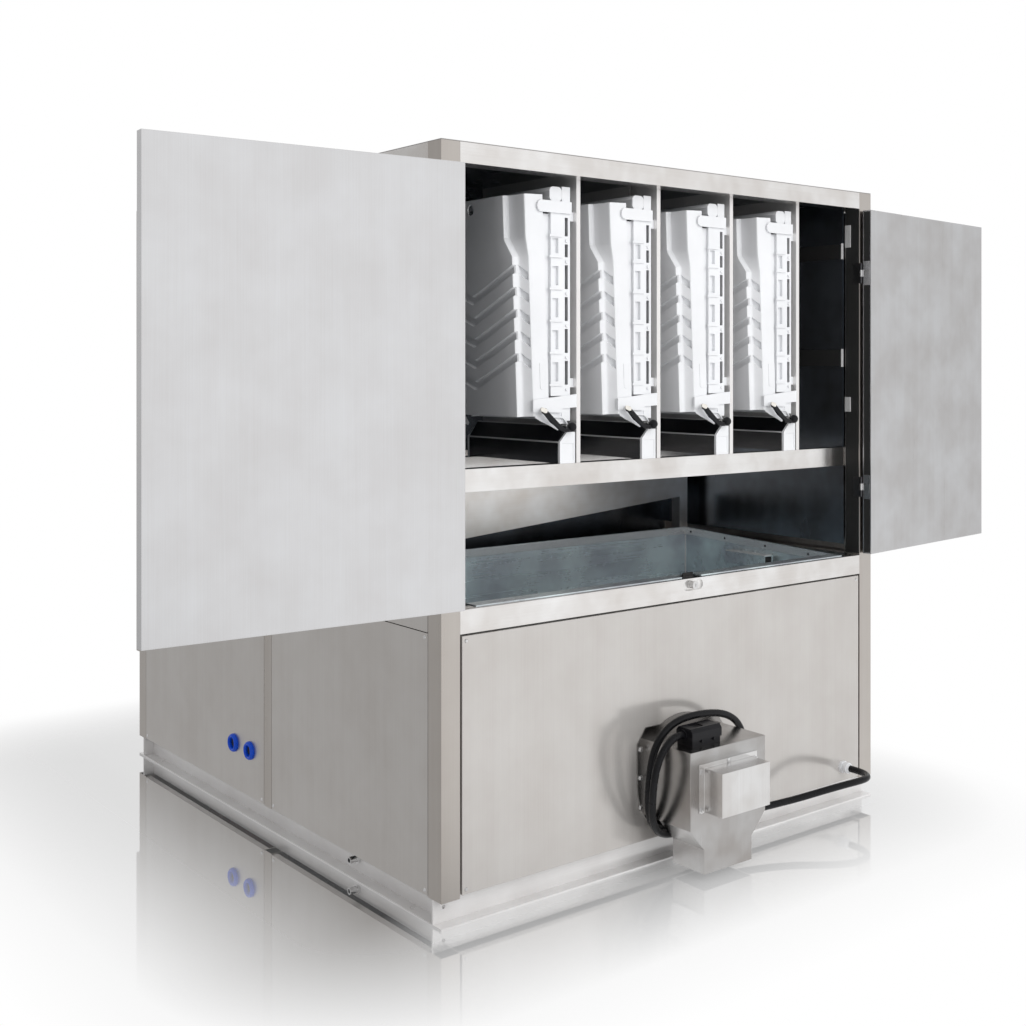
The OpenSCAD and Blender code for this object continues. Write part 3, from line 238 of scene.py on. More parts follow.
class ShaderGroups:
    """The effects that several finishes share, each a node group that is made once."""

    LINES = Noise(1.0, 3.0, 0.65)
    LINE_TONE = 0.25
    LINE_ROUGH = 0.16
    LINE_HEIGHT = 0.02
    BANDS = Noise(1.0, 2.0)
    BAND_SCALE = 0.045
    WAVES = Noise(1.7, 1.0)
    # Cloudy light and dark blotches on steel: painted reflection of mottled surroundings
    REFLECTION_CLOUDS = Noise(5.5, 3.0, 0.6)
    REFLECTION_CLOUD_RANGE = (0.35, 0.65)
    SMEARS = Noise(5.0, 4.0, 0.6)
    SMEAR_RANGE = (0.48, 0.75)
    SPECKS = Noise(160.0, 2.0)
    SPECK_RANGE = (0.66, 0.74)
    MOULD_GRAIN = Noise(900.0, 2.0)
    SHRINK_MARKS = Noise(9.0, 3.0)

    # The studio's two bright sides: each one's direction, and how well a direction must match it
    STUDIO_SIDES = (((0.35, -0.93, 0.0), 0.45, 0.95), ((0.61, 0.79, 0.0), 0.5, 0.95))
    SIDE_LEVEL = 0.42
    LEVEL_AT_HORIZON = 0.50
    LEVEL_ABOVE = 0.62

    @staticmethod
    def start(
        name: str, inputs: dict[str, float], outputs: tuple[str, ...]
    ) -> tuple[Link, bpy.types.bpy_prop_collection]:
        """Starts a group.

        Args:
            name: The group's name.
            inputs: Each input's name and default; the names that end in Axes are vectors.
            outputs: The outputs' names.

        Returns:
            The group's node helper, and what its inputs give.
        """
        tree = bpy.data.node_groups.new(name, "ShaderNodeTree")
        for title, value in inputs.items():
            kind = "NodeSocketVector" if title.endswith("Axes") else "NodeSocketFloat"
            socket = tree.interface.new_socket(title, in_out="INPUT", socket_type=kind)
            if kind == "NodeSocketFloat":
                socket.default_value = value
        for title in outputs:
            tree.interface.new_socket(title, in_out="OUTPUT", socket_type="NodeSocketFloat")
        link = Link(tree)
        return link, link.node("NodeGroupInput").outputs

    @cache
    def brushed(self) -> bpy.types.NodeTree:
        """Brushed sheet metal: fine lines, soft bands along them, cloudy blotches of painted
        reflection and slow waves.

        Returns:
            A group with outputs Tone, Rough and Height.
        """
        inputs = {"Grain Axes": 0.0, "Bands": 1.0, "Patches": 0.0, "Waves": 1.0}
        link, given = self.start("brushed_sheet", inputs, ("Tone", "Rough", "Height"))
        place = link.node("ShaderNodeTexCoord").outputs["Object"]
        along = link.vector("MULTIPLY", place, given["Grain Axes"]).outputs[0]
        lines = link.noise(along, self.LINES)
        bands = link.noise(link.vector("SCALE", along, self.BAND_SCALE).outputs[0], self.BANDS)
        # Painted reflection: cloudy blotches that lighten and darken the steel
        cloud = link.mapped(link.noise(place, self.REFLECTION_CLOUDS), *self.REFLECTION_CLOUD_RANGE, -0.5, 0.5)
        reflection_patches = link.math("MULTIPLY", cloud, given["Patches"])
        swing = link.math("MULTIPLY", link.math("SUBTRACT", bands, 0.5), given["Bands"])
        fine = link.math("SUBTRACT", lines, 0.5)
        streaks = link.math("ADD", link.math("MULTIPLY", fine, self.LINE_TONE), swing)
        tone = link.math("ADD", streaks, reflection_patches)
        rough = link.math("ADD", link.math("MULTIPLY", fine, self.LINE_ROUGH), swing)
        slow = link.math("MULTIPLY", link.noise(place, self.WAVES), given["Waves"])
        height = link.math("ADD", link.math("MULTIPLY", lines, self.LINE_HEIGHT), slow)
        return link.give(Tone=tone, Rough=rough, Height=height)

    @cache
    def handling(self) -> bpy.types.NodeTree:
        """Faint smears and specks from handling.

        Returns:
            A group with outputs Smear and Speck.
        """
        inputs = {"Size": 1.0, "Amount": 1.0}
        link, given = self.start("handling_marks", inputs, ("Smear", "Speck"))
        place = link.node("ShaderNodeTexCoord").outputs["Object"]
        sized = link.vector("SCALE", place, given["Size"]).outputs[0]
        smear = link.mapped(link.noise(sized, self.SMEARS), *self.SMEAR_RANGE)
        speck = link.mapped(link.noise(sized, self.SPECKS), *self.SPECK_RANGE)
        return link.give(
            Smear=link.math("MULTIPLY", smear, given["Amount"]),
            Speck=link.math("MULTIPLY", speck, given["Amount"]),
        )

    @cache
    def moulded(self) -> bpy.types.NodeTree:
        """Moulded surface: fine grain over slow shrink marks.

        Returns:
            A group with outputs Tone and Height.
        """
        link, given = self.start("moulded_skin", {"Grain": 1.0}, ("Tone", "Height"))
        place = link.node("ShaderNodeTexCoord").outputs["Object"]
        fine = link.math("MULTIPLY", link.noise(place, self.MOULD_GRAIN), given["Grain"])
        slow = link.noise(place, self.SHRINK_MARKS)
        return link.give(
            Tone=link.math("SUBTRACT", slow, 0.5), Height=link.math("ADD", fine, slow)
        )

    @cache
    def studio_level(self) -> bpy.types.NodeTree:
        """How bright the studio is in a direction: in front, behind, at the sides and above.

        Returns:
            A group with the output Level.
        """
        link, given = self.start("studio_level", {"Toward Axes": 0.0}, ("Level",))
        sides = []
        for direction, low, high in self.STUDIO_SIDES:
            match = link.vector("DOT_PRODUCT", given[0], direction).outputs["Value"]
            sides.append(link.mapped(match, low, high, 0.0, self.SIDE_LEVEL))
        split = link.node("ShaderNodeSeparateXYZ")
        link.join(given[0], split.inputs[0])
        levels = (self.LEVEL_AT_HORIZON, self.LEVEL_ABOVE)
        above = link.mapped(split.outputs["Z"], 0.0, 1.0, *levels)
        return link.give(Level=link.math("ADD", link.math("MAXIMUM", *sides), above))


GROUPS = ShaderGroups()


def start_material(name: str) -> tuple[bpy.types.Material, Link, bpy.types.Node]:
    """Makes a material that holds one Principled shader.

    Args:
        name: The material's name.

    Returns:
        The material, its node helper and its shader.
    """
    material = bpy.data.materials.new(name)
    material.use_nodes = True
    link = Link(material.node_tree)
    return material, link, material.node_tree.nodes["Principled BSDF"]


def placed(link: Link, tree: bpy.types.NodeTree, **values: object) -> bpy.types.bpy_prop_collection:
    """Places a shared effect in a material.

    Args:
        link: The material's node helper.
        tree: The effect's node group.
        **values: Its inputs, with underscores for spaces.

    Returns:
        The effect's outputs.
    """
    made = link.node("ShaderNodeGroup", node_tree=tree)
    for title, value in values.items():
        made.inputs[title.replace("_", " ")].default_value = value
    return made.outputs


def coloured(
    link: Link,
    shader: bpy.types.Node,
    value: bpy.types.NodeSocket,
    tones: tuple[Colour, Colour],
    reach: tuple[float, float],
) -> None:
    """Colours the shader between two tones.

    Args:
        link: The material's node helper.
        shader: The Principled shader.
        value: The value that changes over the surface.
        tones: The colours at the low and the high end.
        reach: The value at the low and the high end.
    """
    ramp = link.node("ShaderNodeMix", data_type="RGBA")
    for title, tone in zip("AB", tones):
        ramp.inputs[title].default_value = (*tone, 1.0)
    link.join(link.mapped(value, *reach), ramp.inputs["Factor"])
    link.join(ramp.outputs["Result"], shader.inputs["Base Color"])


def roughened(
    link: Link, shader: bpy.types.Node, smear: bpy.types.NodeSocket, share: float, base: object
) -> None:
    """Makes the shader rougher where it is smeared.

    Args:
        link: The material's node helper.
        shader: The Principled shader.
        smear: How much the surface is smeared.
        share: How much roughness a full smear adds.
        base: The roughness without smears, a number or an output.
    """
    rough = link.math("ADD", link.math("MULTIPLY", smear, share), base)
    link.join(rough, shader.inputs["Roughness"])


def bumped(link: Link, shader: bpy.types.Node, height: bpy.types.NodeSocket, depth: float) -> None:
    """Feeds a height into the shader's normal.

    Args:
        link: The material's node helper.
        shader: The Principled shader.
        height: The height's output.
        depth: How far the height stands out, in metres.
    """
    bump = link.node("ShaderNodeBump")
    bump.inputs["Distance"].default_value = depth
    bump.inputs["Strength"].default_value = 1.0
    link.join(height, bump.inputs["Height"])
    link.join(bump.outputs["Normal"], shader.inputs["Normal"])


@dataclass(frozen=True)
class Steel:
    """A stainless sheet finish."""

    # What the tone is multiplied by in dark and in light streaks and blotches: a painted reflection
    # tint, warm in the dark ones and cool in the light ones
    WARM_REFLECTION: ClassVar[Colour] = (0.80, 0.765, 0.74)
    COOL_REFLECTION: ClassVar[Colour] = (1.20, 1.225, 1.25)
    # How far the brushing's roughness swings, and what that takes off or adds
    ROUGH_SWING: ClassVar[float] = 0.3
    SMOOTHER: ClassVar[float] = 0.05
    ROUGHER: ClassVar[float] = 0.07
    # The roughness that a full smear adds, and the height of the relief in metres
    SMEAR_ROUGH: ClassVar[float] = 0.10
    RELIEF: ClassVar[float] = 0.0006
    name: str
    tone: Colour
    grain: Grain = Grain.ALONG_Z
    rough: float = 0.30
    bands: float = 0.5
    waves: float = 1.0
    metal: float = 1.0
    smears: float = 0.3
    # How strong the cloudy blotches of painted reflection are
    reflection_patches: float = 0.1

    def material(self) -> bpy.types.Material:
        """Builds the finish.

        Returns:
            The material.
        """
        material, link, shader = start_material(self.name)
        sheet = placed(
            link,
            GROUPS.brushed(),
            Grain_Axes=self.grain.value,
            Bands=self.bands,
            Patches=self.reflection_patches,
            Waves=self.waves,
        )
        marks = placed(link, GROUPS.handling(), Size=1.0, Amount=self.smears)
        dark = tuple(c * share for c, share in zip(self.tone, self.WARM_REFLECTION))
        light = tuple(min(c * share, 1.0) for c, share in zip(self.tone, self.COOL_REFLECTION))
        coloured(link, shader, sheet["Tone"], (dark, light), (-0.5, 0.5))
        limits = (self.rough - self.SMOOTHER, self.rough + self.ROUGHER)
        base = link.mapped(sheet["Rough"], -self.ROUGH_SWING, self.ROUGH_SWING, *limits)
        roughened(link, shader, marks["Smear"], self.SMEAR_ROUGH, base)
        shader.inputs["Metallic"].default_value = self.metal
        bumped(link, shader, sheet["Height"], self.RELIEF)
        return material


@dataclass(frozen=True)
class Plastic:
    """A moulded plastic finish."""

    SHADE: ClassVar[float] = 0.94
    TONE_REACH: ClassVar[tuple[float, float]] = (-0.2, 0.2)
    SMEAR_ROUGH: ClassVar[float] = 0.15
    RELIEF: ClassVar[float] = 0.0004
    name: str
    tone: Colour
    rough: float = 0.35
    grain: float = 0.02
    shine: float = 0.5
    marks: float = 0.3
    mark_size: float = 3.0

    def material(self) -> bpy.types.Material:
        """Builds the finish.

        Returns:
            The material.
        """
        material, link, shader = start_material(self.name)
        skin = placed(link, GROUPS.moulded(), Grain=self.grain)
        marks = placed(link, GROUPS.handling(), Size=self.mark_size, Amount=self.marks)
        dark = tuple(c * self.SHADE for c in self.tone)
        coloured(link, shader, skin["Tone"], (dark, self.tone), self.TONE_REACH)
        roughened(link, shader, marks["Smear"], self.SMEAR_ROUGH, self.rough)
        shader.inputs["Specular IOR Level"].default_value = self.shine
        bumped(link, shader, skin["Height"], self.RELIEF)
        return material


@dataclass(frozen=True)
class Paint:
    """A paint or plated finish on a cast or drawn part."""

    WORN_SHARE: ClassVar[float] = 1.35
    WORN_MORE: ClassVar[float] = 0.02
    SMEAR_ROUGH: ClassVar[float] = 0.2
    RELIEF: ClassVar[float] = 0.0001
    name: str
    tone: Colour
    metal: float = 0.0
    rough: float = 0.4
    speckle: float = 0.5
    mark_size: float = 2.0

    def material(self) -> bpy.types.Material:
        """Builds the finish.

        Returns:
            The material.
        """
        material, link, shader = start_material(self.name)
        marks = placed(link, GROUPS.handling(), Size=self.mark_size, Amount=self.speckle)
        worn = tuple(min(c * self.WORN_SHARE + self.WORN_MORE, 1.0) for c in self.tone)
        coloured(link, shader, marks["Speck"], (self.tone, worn), (0.0, 1.0))
        roughened(link, shader, marks["Smear"], self.SMEAR_ROUGH, self.rough)
        shader.inputs["Metallic"].default_value = self.metal
        bumped(link, shader, marks["Speck"], self.RELIEF)
        return material


@dataclass(frozen=True)
class Sheath:
    """The rubber sheath of the cable, dusty where it is smeared."""

    DUST: ClassVar[float] = 2.2
    SMEAR_ROUGH: ClassVar[float] = 0.2
    RELIEF: ClassVar[float] = 0.0003
    name: str
    tone: Colour
    rough: float = 0.26
    shine: float = 0.22
    grain: float = 0.05
    marks: float = 0.8
    mark_size: float = 4.0

    def material(self) -> bpy.types.Material:
        """Builds the finish.

        Returns:
            The material.
        """
        material, link, shader = start_material(self.name)
        skin = placed(link, GROUPS.moulded(), Grain=self.grain)
        marks = placed(link, GROUPS.handling(), Size=self.mark_size, Amount=self.marks)
        dusty = tuple(c * self.DUST for c in self.tone)
        coloured(link, shader, marks["Smear"], (self.tone, dusty), (0.0, 1.0))
        roughened(link, shader, marks["Smear"], self.SMEAR_ROUGH, self.rough)
        shader.inputs["Specular IOR Level"].default_value = self.shine
        bumped(link, shader, skin["Height"], self.RELIEF)
        return material


@dataclass
class Finishes:
    """Every finish of the machine, and what each one covers."""

    made: dict[str, bpy.types.Material] = field(default_factory=dict)

    KINDS: ClassVar[tuple] = (
        Steel(
            "door_face", (0.76, 0.762, 0.772), bands=0.16, waves=0.9, smears=0.25, reflection_patches=0.14,
        ),
        # Painted shade: a darker copy of the door steel for the right door, which reflects darker
        # than the left one
        Steel(
            "right_door_shaded_face", (0.70, 0.70, 0.706),
            rough=0.28, bands=0.30, waves=1.5, reflection_patches=0.35,
        ),
        Steel("divider_face", (0.90, 0.90, 0.91), rough=0.24, bands=0.20, waves=0.4, metal=0.5),
        Steel("door_edge", (0.72, 0.72, 0.73), rough=0.25, bands=0.10, waves=0.5),
        Steel(
            "front_face", (0.59, 0.568, 0.546),
            rough=0.16, bands=0.20, waves=0.5, metal=0.35, reflection_patches=0.14,
        ),
        Steel("side_face", (0.66, 0.635, 0.61), rough=0.32, bands=0.25, waves=0.8, reflection_patches=0.14),
        Steel("post_face", (0.58, 0.545, 0.51), rough=0.28, bands=0.30, waves=0.6),
        Steel(
            "rail_face", (0.88, 0.865, 0.85), Grain.ALONG_X, rough=0.20, bands=0.30, reflection_patches=0.55,
        ),
        Steel(
            "base_face", (0.86, 0.865, 0.88), Grain.ALONG_X,
            rough=0.22, bands=0.20, waves=0.4, metal=0.3, reflection_patches=0.25,
        ),
        Steel("roof_face", (0.45, 0.435, 0.43), Grain.ALONG_Y, bands=0.30, waves=0.8),
        # Painted shade: the inner liners and bulkhead get a near-black steel tone for the shade
        # deep inside the bays
        Steel("liner_shade_dark", (0.17, 0.187, 0.21), rough=0.24, waves=2.4, reflection_patches=1.0),
        Steel(
            "hopper_face", (0.72, 0.80, 0.90), Grain.ALONG_X,
            rough=0.26, bands=0.30, waves=1.6, metal=0.7, reflection_patches=1.0,
        ),
        # Painted highlight: a lighter copy of the hopper steel for its flat top bands
        Steel("band_painted_highlight", (0.90, 0.95, 1.0), Grain.ALONG_X, rough=0.24, bands=0.4, metal=0.8),
        Steel("deflector_face", (0.93, 0.91, 0.875), Grain.ALONG_X, bands=0.4, reflection_patches=0.7),
        Steel("spout_face", (0.46, 0.45, 0.44), rough=0.24, bands=0.25, waves=0.3, reflection_patches=0.7),
        # Painted reflection: the spout flange is darker than the spout's steel, for the dark spout
        # side that it reflects
        Steel("flange_dark_reflection", (0.30, 0.29, 0.28), rough=0.20, bands=0.25, waves=0.4),
        Steel("cover_face", (0.72, 0.71, 0.70), rough=0.24, bands=0.35, waves=0.3, reflection_patches=0.45),
        Steel(
            "trough_face", (0.16, 0.16, 0.165), Grain.ALONG_Y, rough=0.20, bands=0.4, waves=0.6,
        ),
        Steel(
            "bright_metal", (0.78, 0.78, 0.78), Grain.ALONG_Y, rough=0.22, bands=0.2, waves=0.4,
        ),
        Steel(
            "pale_metal", (0.80, 0.80, 0.80), Grain.ALONG_Y,
            rough=0.22, bands=0.2, waves=0.4, metal=0.35,
        ),
        Steel("dull_metal", (0.32, 0.32, 0.33), Grain.ALONG_X, rough=0.35, bands=0.3, waves=0.4),
        Steel("dark_metal", (0.10, 0.10, 0.105), bands=0.3, waves=0.8),
        Plastic("white_moulding", (0.86, 0.87, 0.89), rough=0.30),
        Plastic("cream_moulding", (0.82, 0.79, 0.73)),
        Plastic("black_moulding", (0.008, 0.008, 0.010), rough=0.28, shine=0.25),
        Plastic("blue_moulding", (0.001, 0.08, 0.70), rough=0.10, shine=0.3),
        # Black rubber for the door gaskets, also used as painted shade on plates and plugs
        Plastic("gasket_rubber", (0.018, 0.018, 0.018), rough=0.6, grain=0.05),
        Sheath("cable_sheath", (0.005, 0.005, 0.006)),
        Paint("copper_tube", (0.72, 0.40, 0.26), metal=1.0, rough=0.28),
        Paint("plated_grid", (0.72, 0.72, 0.74), metal=1.0, rough=0.25),
        Paint("black_paint", (0.02, 0.02, 0.02), rough=0.25),
        Paint("brown_paint", (0.20, 0.07, 0.04), rough=0.35),
        Paint("motor_paint", (0.05, 0.13, 0.26), rough=0.35),
        Paint("black_steel", (0.03, 0.03, 0.03), metal=0.6, rough=0.35),
    )
    COVERS: ClassVar[dict[str, tuple[str, ...]]] = {
        "door_face": ("left_door_liner",),
        "right_door_shaded_face": ("right_door_liner",),
        "divider_face": ("dividers",),
        "door_edge": ("left_door_skin", "right_door_skin"),
        "front_face": ("front_panel",),
        "side_face": ("left_panels", "right_panels", "back_panel", "rear_cover"),
        "post_face": ("posts",),
        "rail_face": ("top_rails", "middle_rails", "low_rails"),
        "base_face": ("base_frame",),
        "roof_face": ("floor_pan", "roof_panel"),
        "liner_shade_dark": ("inner_liners", "bulkhead"),
        "hopper_face": ("ice_hopper",),
        "deflector_face": ("rear_deflector",),
        "spout_face": ("spout_box",),
        "flange_dark_reflection": ("spout_flange",),
        "cover_face": ("spout_cover",),
        "trough_face": ("water_troughs",),
        "bright_metal": (
            "panel_screws", "auger_shaft", "auger_flight", "spout_bolts", "drain_nipple",
            "left_door_hinges", "right_door_hinges", "lock_barrel",
        ),
        "dull_metal": ("auger_bearings",),
        "dark_metal": ("frame_hinges",),
        "white_moulding": (
            "module_frames", "distributors", "trough_caps", "cable_gland", "curtain_1",
            "curtain_2", "curtain_3", "curtain_4",
        ),
        "black_moulding": (
            "ice_slides", "cable_connector", "lever_1", "lever_2", "lever_3", "lever_4",
        ),
        "blue_moulding": ("water_fittings",),
        "gasket_rubber": ("left_door_gasket", "right_door_gasket"),
        "cable_sheath": ("power_cable",),
        "copper_tube": ("evaporator_tubes", "refrigerant_pipes"),
        "plated_grid": ("evaporators",),
        "black_paint": ("compressor",),
        "brown_paint": ("condenser",),
        "motor_paint": ("gear_motor",),
        "black_steel": ("lock_cam",),
    }

    def build(self) -> None:
        """Builds every finish once."""
        for kind in self.KINDS:
            self.made[kind.name] = kind.material()
        log.info("finishes: %d", len(self.made))

    def of_node(self, node: str) -> bpy.types.Material:
        """The finish of a CAD node."""
        return self.made[next(name for name, nodes in self.COVERS.items() if node in nodes)]


@dataclass(frozen=True)
class Prism:
    """A straight bar, in millimetres: its outline, and where it starts and ends."""

    outline: Outline
    near: float
    far: float


def plate(y: tuple[float, float], z: tuple[float, float], face: float, thick: float) -> Prism:
    """A flat plate that stands out to the left of a wall, to be placed from_side.

    Args:
        y: Its two ends, in millimetres from the front.
        z: Its lower and upper edge, in millimetres.
        face: Where the wall's face is, in millimetres from the left.
        thick: The plate's thickness, in millimetres.

    Returns:
        The plate.
    """
    corners = ((y[0], z[0]), (y[1], z[0]), (y[1], z[1]), (y[0], z[1]))
    return Prism(corners, face, face - thick)


@dataclass(frozen=True)
class ModuleRow:
    """Where the four ice modules stand, in millimetres in the cabinet."""

    first: float = 476.0
    pitch: float = 295.0
    front: float = 62.0
    depth: float = 404.0
    floor: float = 1098.0
    count: int = 4

    def point(self, index: int, x: float, y: float, z: float) -> Vector:
        """A place given from one module's divider, front and floor.

        Args:
            index: The module's number, from 0 on the left.
            x: Distance to the right of its divider, in millimetres.
            y: Distance to the back, in millimetres.
            z: Height, in millimetres.

        Returns:
            The point in metres.
        """
        return cab(self.first + self.pitch * index + x, self.front + y, self.floor + z)

    def places(self) -> tuple[Place, ...]:
        """What turns a place in a module into the row frame, for each module."""
        return tuple(partial(self.point, index) for index in range(self.count))


MODULES = ModuleRow()


def soften(obj: bpy.types.Object, width: float, angle: float = 40.0, keep: bool = True) -> None:
    """Rounds an object's sharp edges a little.

    Args:
        obj: The object.
        width: The rounding's width, in metres.
        angle: The angle above which an edge is rounded, in degrees.
        keep: Whether the faces keep their own shading.
    """
    weld = obj.modifiers.new("weld", "WELD")
    weld.merge_threshold = WELD_REACH
    bevel = obj.modifiers.new("edge", "BEVEL")
    bevel.width = width
    bevel.segments = ROUNDING_STEPS
    bevel.limit_method = "ANGLE"
    bevel.angle_limit = math.radians(angle)
    bevel.harden_normals = keep
    bevel.use_clamp_overlap = True


@dataclass
class Dresser:
    """Puts finishes and softened edges on the CAD nodes."""

    finishes: Finishes
    edge: float = 0.0008
    FOLDS: ClassVar[dict[str, float]] = {
        "spout_box": 0.0028,
        "spout_cover": 0.0028,
        "spout_flange": 0.0016,
        "cable_connector": 0.0035,
    }
    SOFTENED: ClassVar[tuple[str, ...]] = (
        "posts", "top_rails", "middle_rails", "low_rails", "front_panel", "left_panels",
        "right_panels", "back_panel", "rear_cover", "roof_panel", "base_frame", "dividers",
        "trough_caps", "distributors", "module_frames",
        *FOLDS,
    )

    def dress(self, nodes: dict[str, bpy.types.Object]) -> None:
        """Dresses every node.

        Args:
            nodes: The CAD nodes by name.
        """
        for name, obj in nodes.items():
            obj.data.materials.clear()
            obj.data.materials.append(self.finishes.of_node(name))
            for polygon in obj.data.polygons:
                polygon.material_index = 0
            if name in self.SOFTENED:
                soften(obj, self.FOLDS.get(name, self.edge), keep=name in self.FOLDS)
        log.info("nodes dressed: %d", len(nodes))


@dataclass(frozen=True)
class Dress:
    """How a piece made here is dressed: finish, slot and edges.

    Edges flatter than the smooth angle are shaded smooth. Where edge isn't 0, edges sharper than
    the corner angle are rounded to that width, in metres.
    """

    finish: str
    slot: str
    edge: float = 0.0
    corner: float = 40.0
    smooth: float = 35.0


@dataclass
class MeshMaker:
    """Makes small mesh pieces and puts each on a body."""

    finishes: Finishes

    def from_bmesh(
        self, name: str, bm: bmesh.types.BMesh, dress: Dress, body: str = BODY
    ) -> bpy.types.Object:
        """Turns a bmesh into a dressed piece.

        Args:
            name: The piece's name.
            bm: The geometry, in the row frame.
            dress: How the piece is dressed.
            body: The body that it moves with.

        Returns:
            The new object.
        """
        bmesh.ops.recalc_face_normals(bm, faces=bm.faces)
        mesh = bpy.data.meshes.new(name)
        bm.to_mesh(mesh)
        bm.free()
        mesh.materials.append(self.finishes.made[dress.finish])
        mesh.shade_smooth()
        mesh.set_sharp_from_angle(angle=math.radians(dress.smooth))
        obj = bpy.data.objects.new(name, mesh)
        bpy.context.scene.collection.objects.link(obj)
        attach(obj, body)
        if dress.edge:
            soften(obj, dress.edge, dress.corner)
        log.info("%s", name)
        return obj

    def bars(
        self, name: str, prisms: Iterable[Prism], dress: Dress, places: tuple[Place, ...] = (cab,)
    ) -> bpy.types.Object:
        """Makes one piece of straight bars.

        Args:
            name: The piece's name.
            prisms: The bars.
            dress: How the piece is dressed.
            places: What turns millimetres into the row frame, once for each copy of the bars.

        Returns:
            The piece.
        """
        bm = bmesh.new()
        for place in places:
            for prism in prisms:
                ends = []
                for y in (prism.near, prism.far):
                    ends.append([bm.verts.new(place(x, y, z)) for x, z in prism.outline])
                self.join_rings(bm, ends)
        return self.from_bmesh(name, bm, dress)

    @staticmethod
    def add_lathe(
        bm: bmesh.types.BMesh,
        outline: Outline,
        place: Matrix,
        sides: int = 24,
        closed: bool = False,
    ) -> None:
        """Adds a turned shape.

        Args:
            bm: The geometry to add to.
            outline: Radius and height pairs in millimetres, from the bottom to the top.
            place: Where the axis goes; its Z is the axis.
            sides: How many sides the shape has.
            closed: Whether the outline closes on itself, which leaves a hole along the axis.
        """
        rings = []
        for radius, height in metres(outline):
            ring = []
            for i in range(sides):
                a = 2 * math.pi * i / sides
                point = Vector((radius * math.cos(a), radius * math.sin(a), height))
                ring.append(bm.verts.new(place @ point))
            rings.append(ring)
        MeshMaker.join_rings(bm, rings, closed)

    @staticmethod
    def join_rings(
        bm: bmesh.types.BMesh, rings: list[list[bmesh.types.BMVert]], closed: bool = False
    ) -> None:
        """Joins rings of points with faces.

        Args:
            bm: The geometry to add to.
            rings: Rings of as many points each.
            closed: Whether the last ring joins the first; if not, both ends are filled.
        """
        pairs = list(zip(rings, rings[1:]))
        if closed:
            pairs.append((rings[-1], rings[0]))
        for low, high in pairs:
            for i in range(len(low)):
                j = (i + 1) % len(low)
                bm.faces.new((low[i], low[j], high[j], high[i]))
        if not closed:
            bm.faces.new(list(reversed(rings[0])))
            bm.faces.new(rings[-1])


def facing(at: Vector, direction: Point) -> Matrix:
    """A place whose Z axis points along a direction.

    Args:
        at: The place's origin.
        direction: Where its Z axis points.

    Returns:
        The matrix.
    """
    turn = Vector((0, 0, 1)).rotation_difference(Vector(direction))
    return Matrix.Translation(at) @ turn.to_matrix().to_4x4()


@dataclass(frozen=True)
class Upright:
    """One upright line of a curtain's wall, in millimetres from the module's corner.

    The line stands at low below the curtain's shoulder and at high above it. A groove moves it
    inward by depth, and falls by fall where it reaches the line.
    """

    low: tuple[float, float]
    high: tuple[float, float]
    inward: tuple[float, float]
    depth: float
    fall: float

    def mirrored(self, depth_of_module: float) -> "Upright":
        """The same line on the back half.

        Args:
            depth_of_module: The module's depth.

        Returns:
            The mirrored line.
        """
        return Upright(
            (self.low[0], depth_of_module - self.low[1]),
            (self.high[0], depth_of_module - self.high[1]),
            (self.inward[0], -self.inward[1]),
            self.depth,
            self.fall,
        )


@dataclass(frozen=True)
class Level:
    """One height of a curtain's wall, and how far each change has gone there, from 0 to 1."""

    height: float
    shoulder: float = 0.0
    step: float = 0.0
    groove: float = 0.0
    chevron: float = 0.0


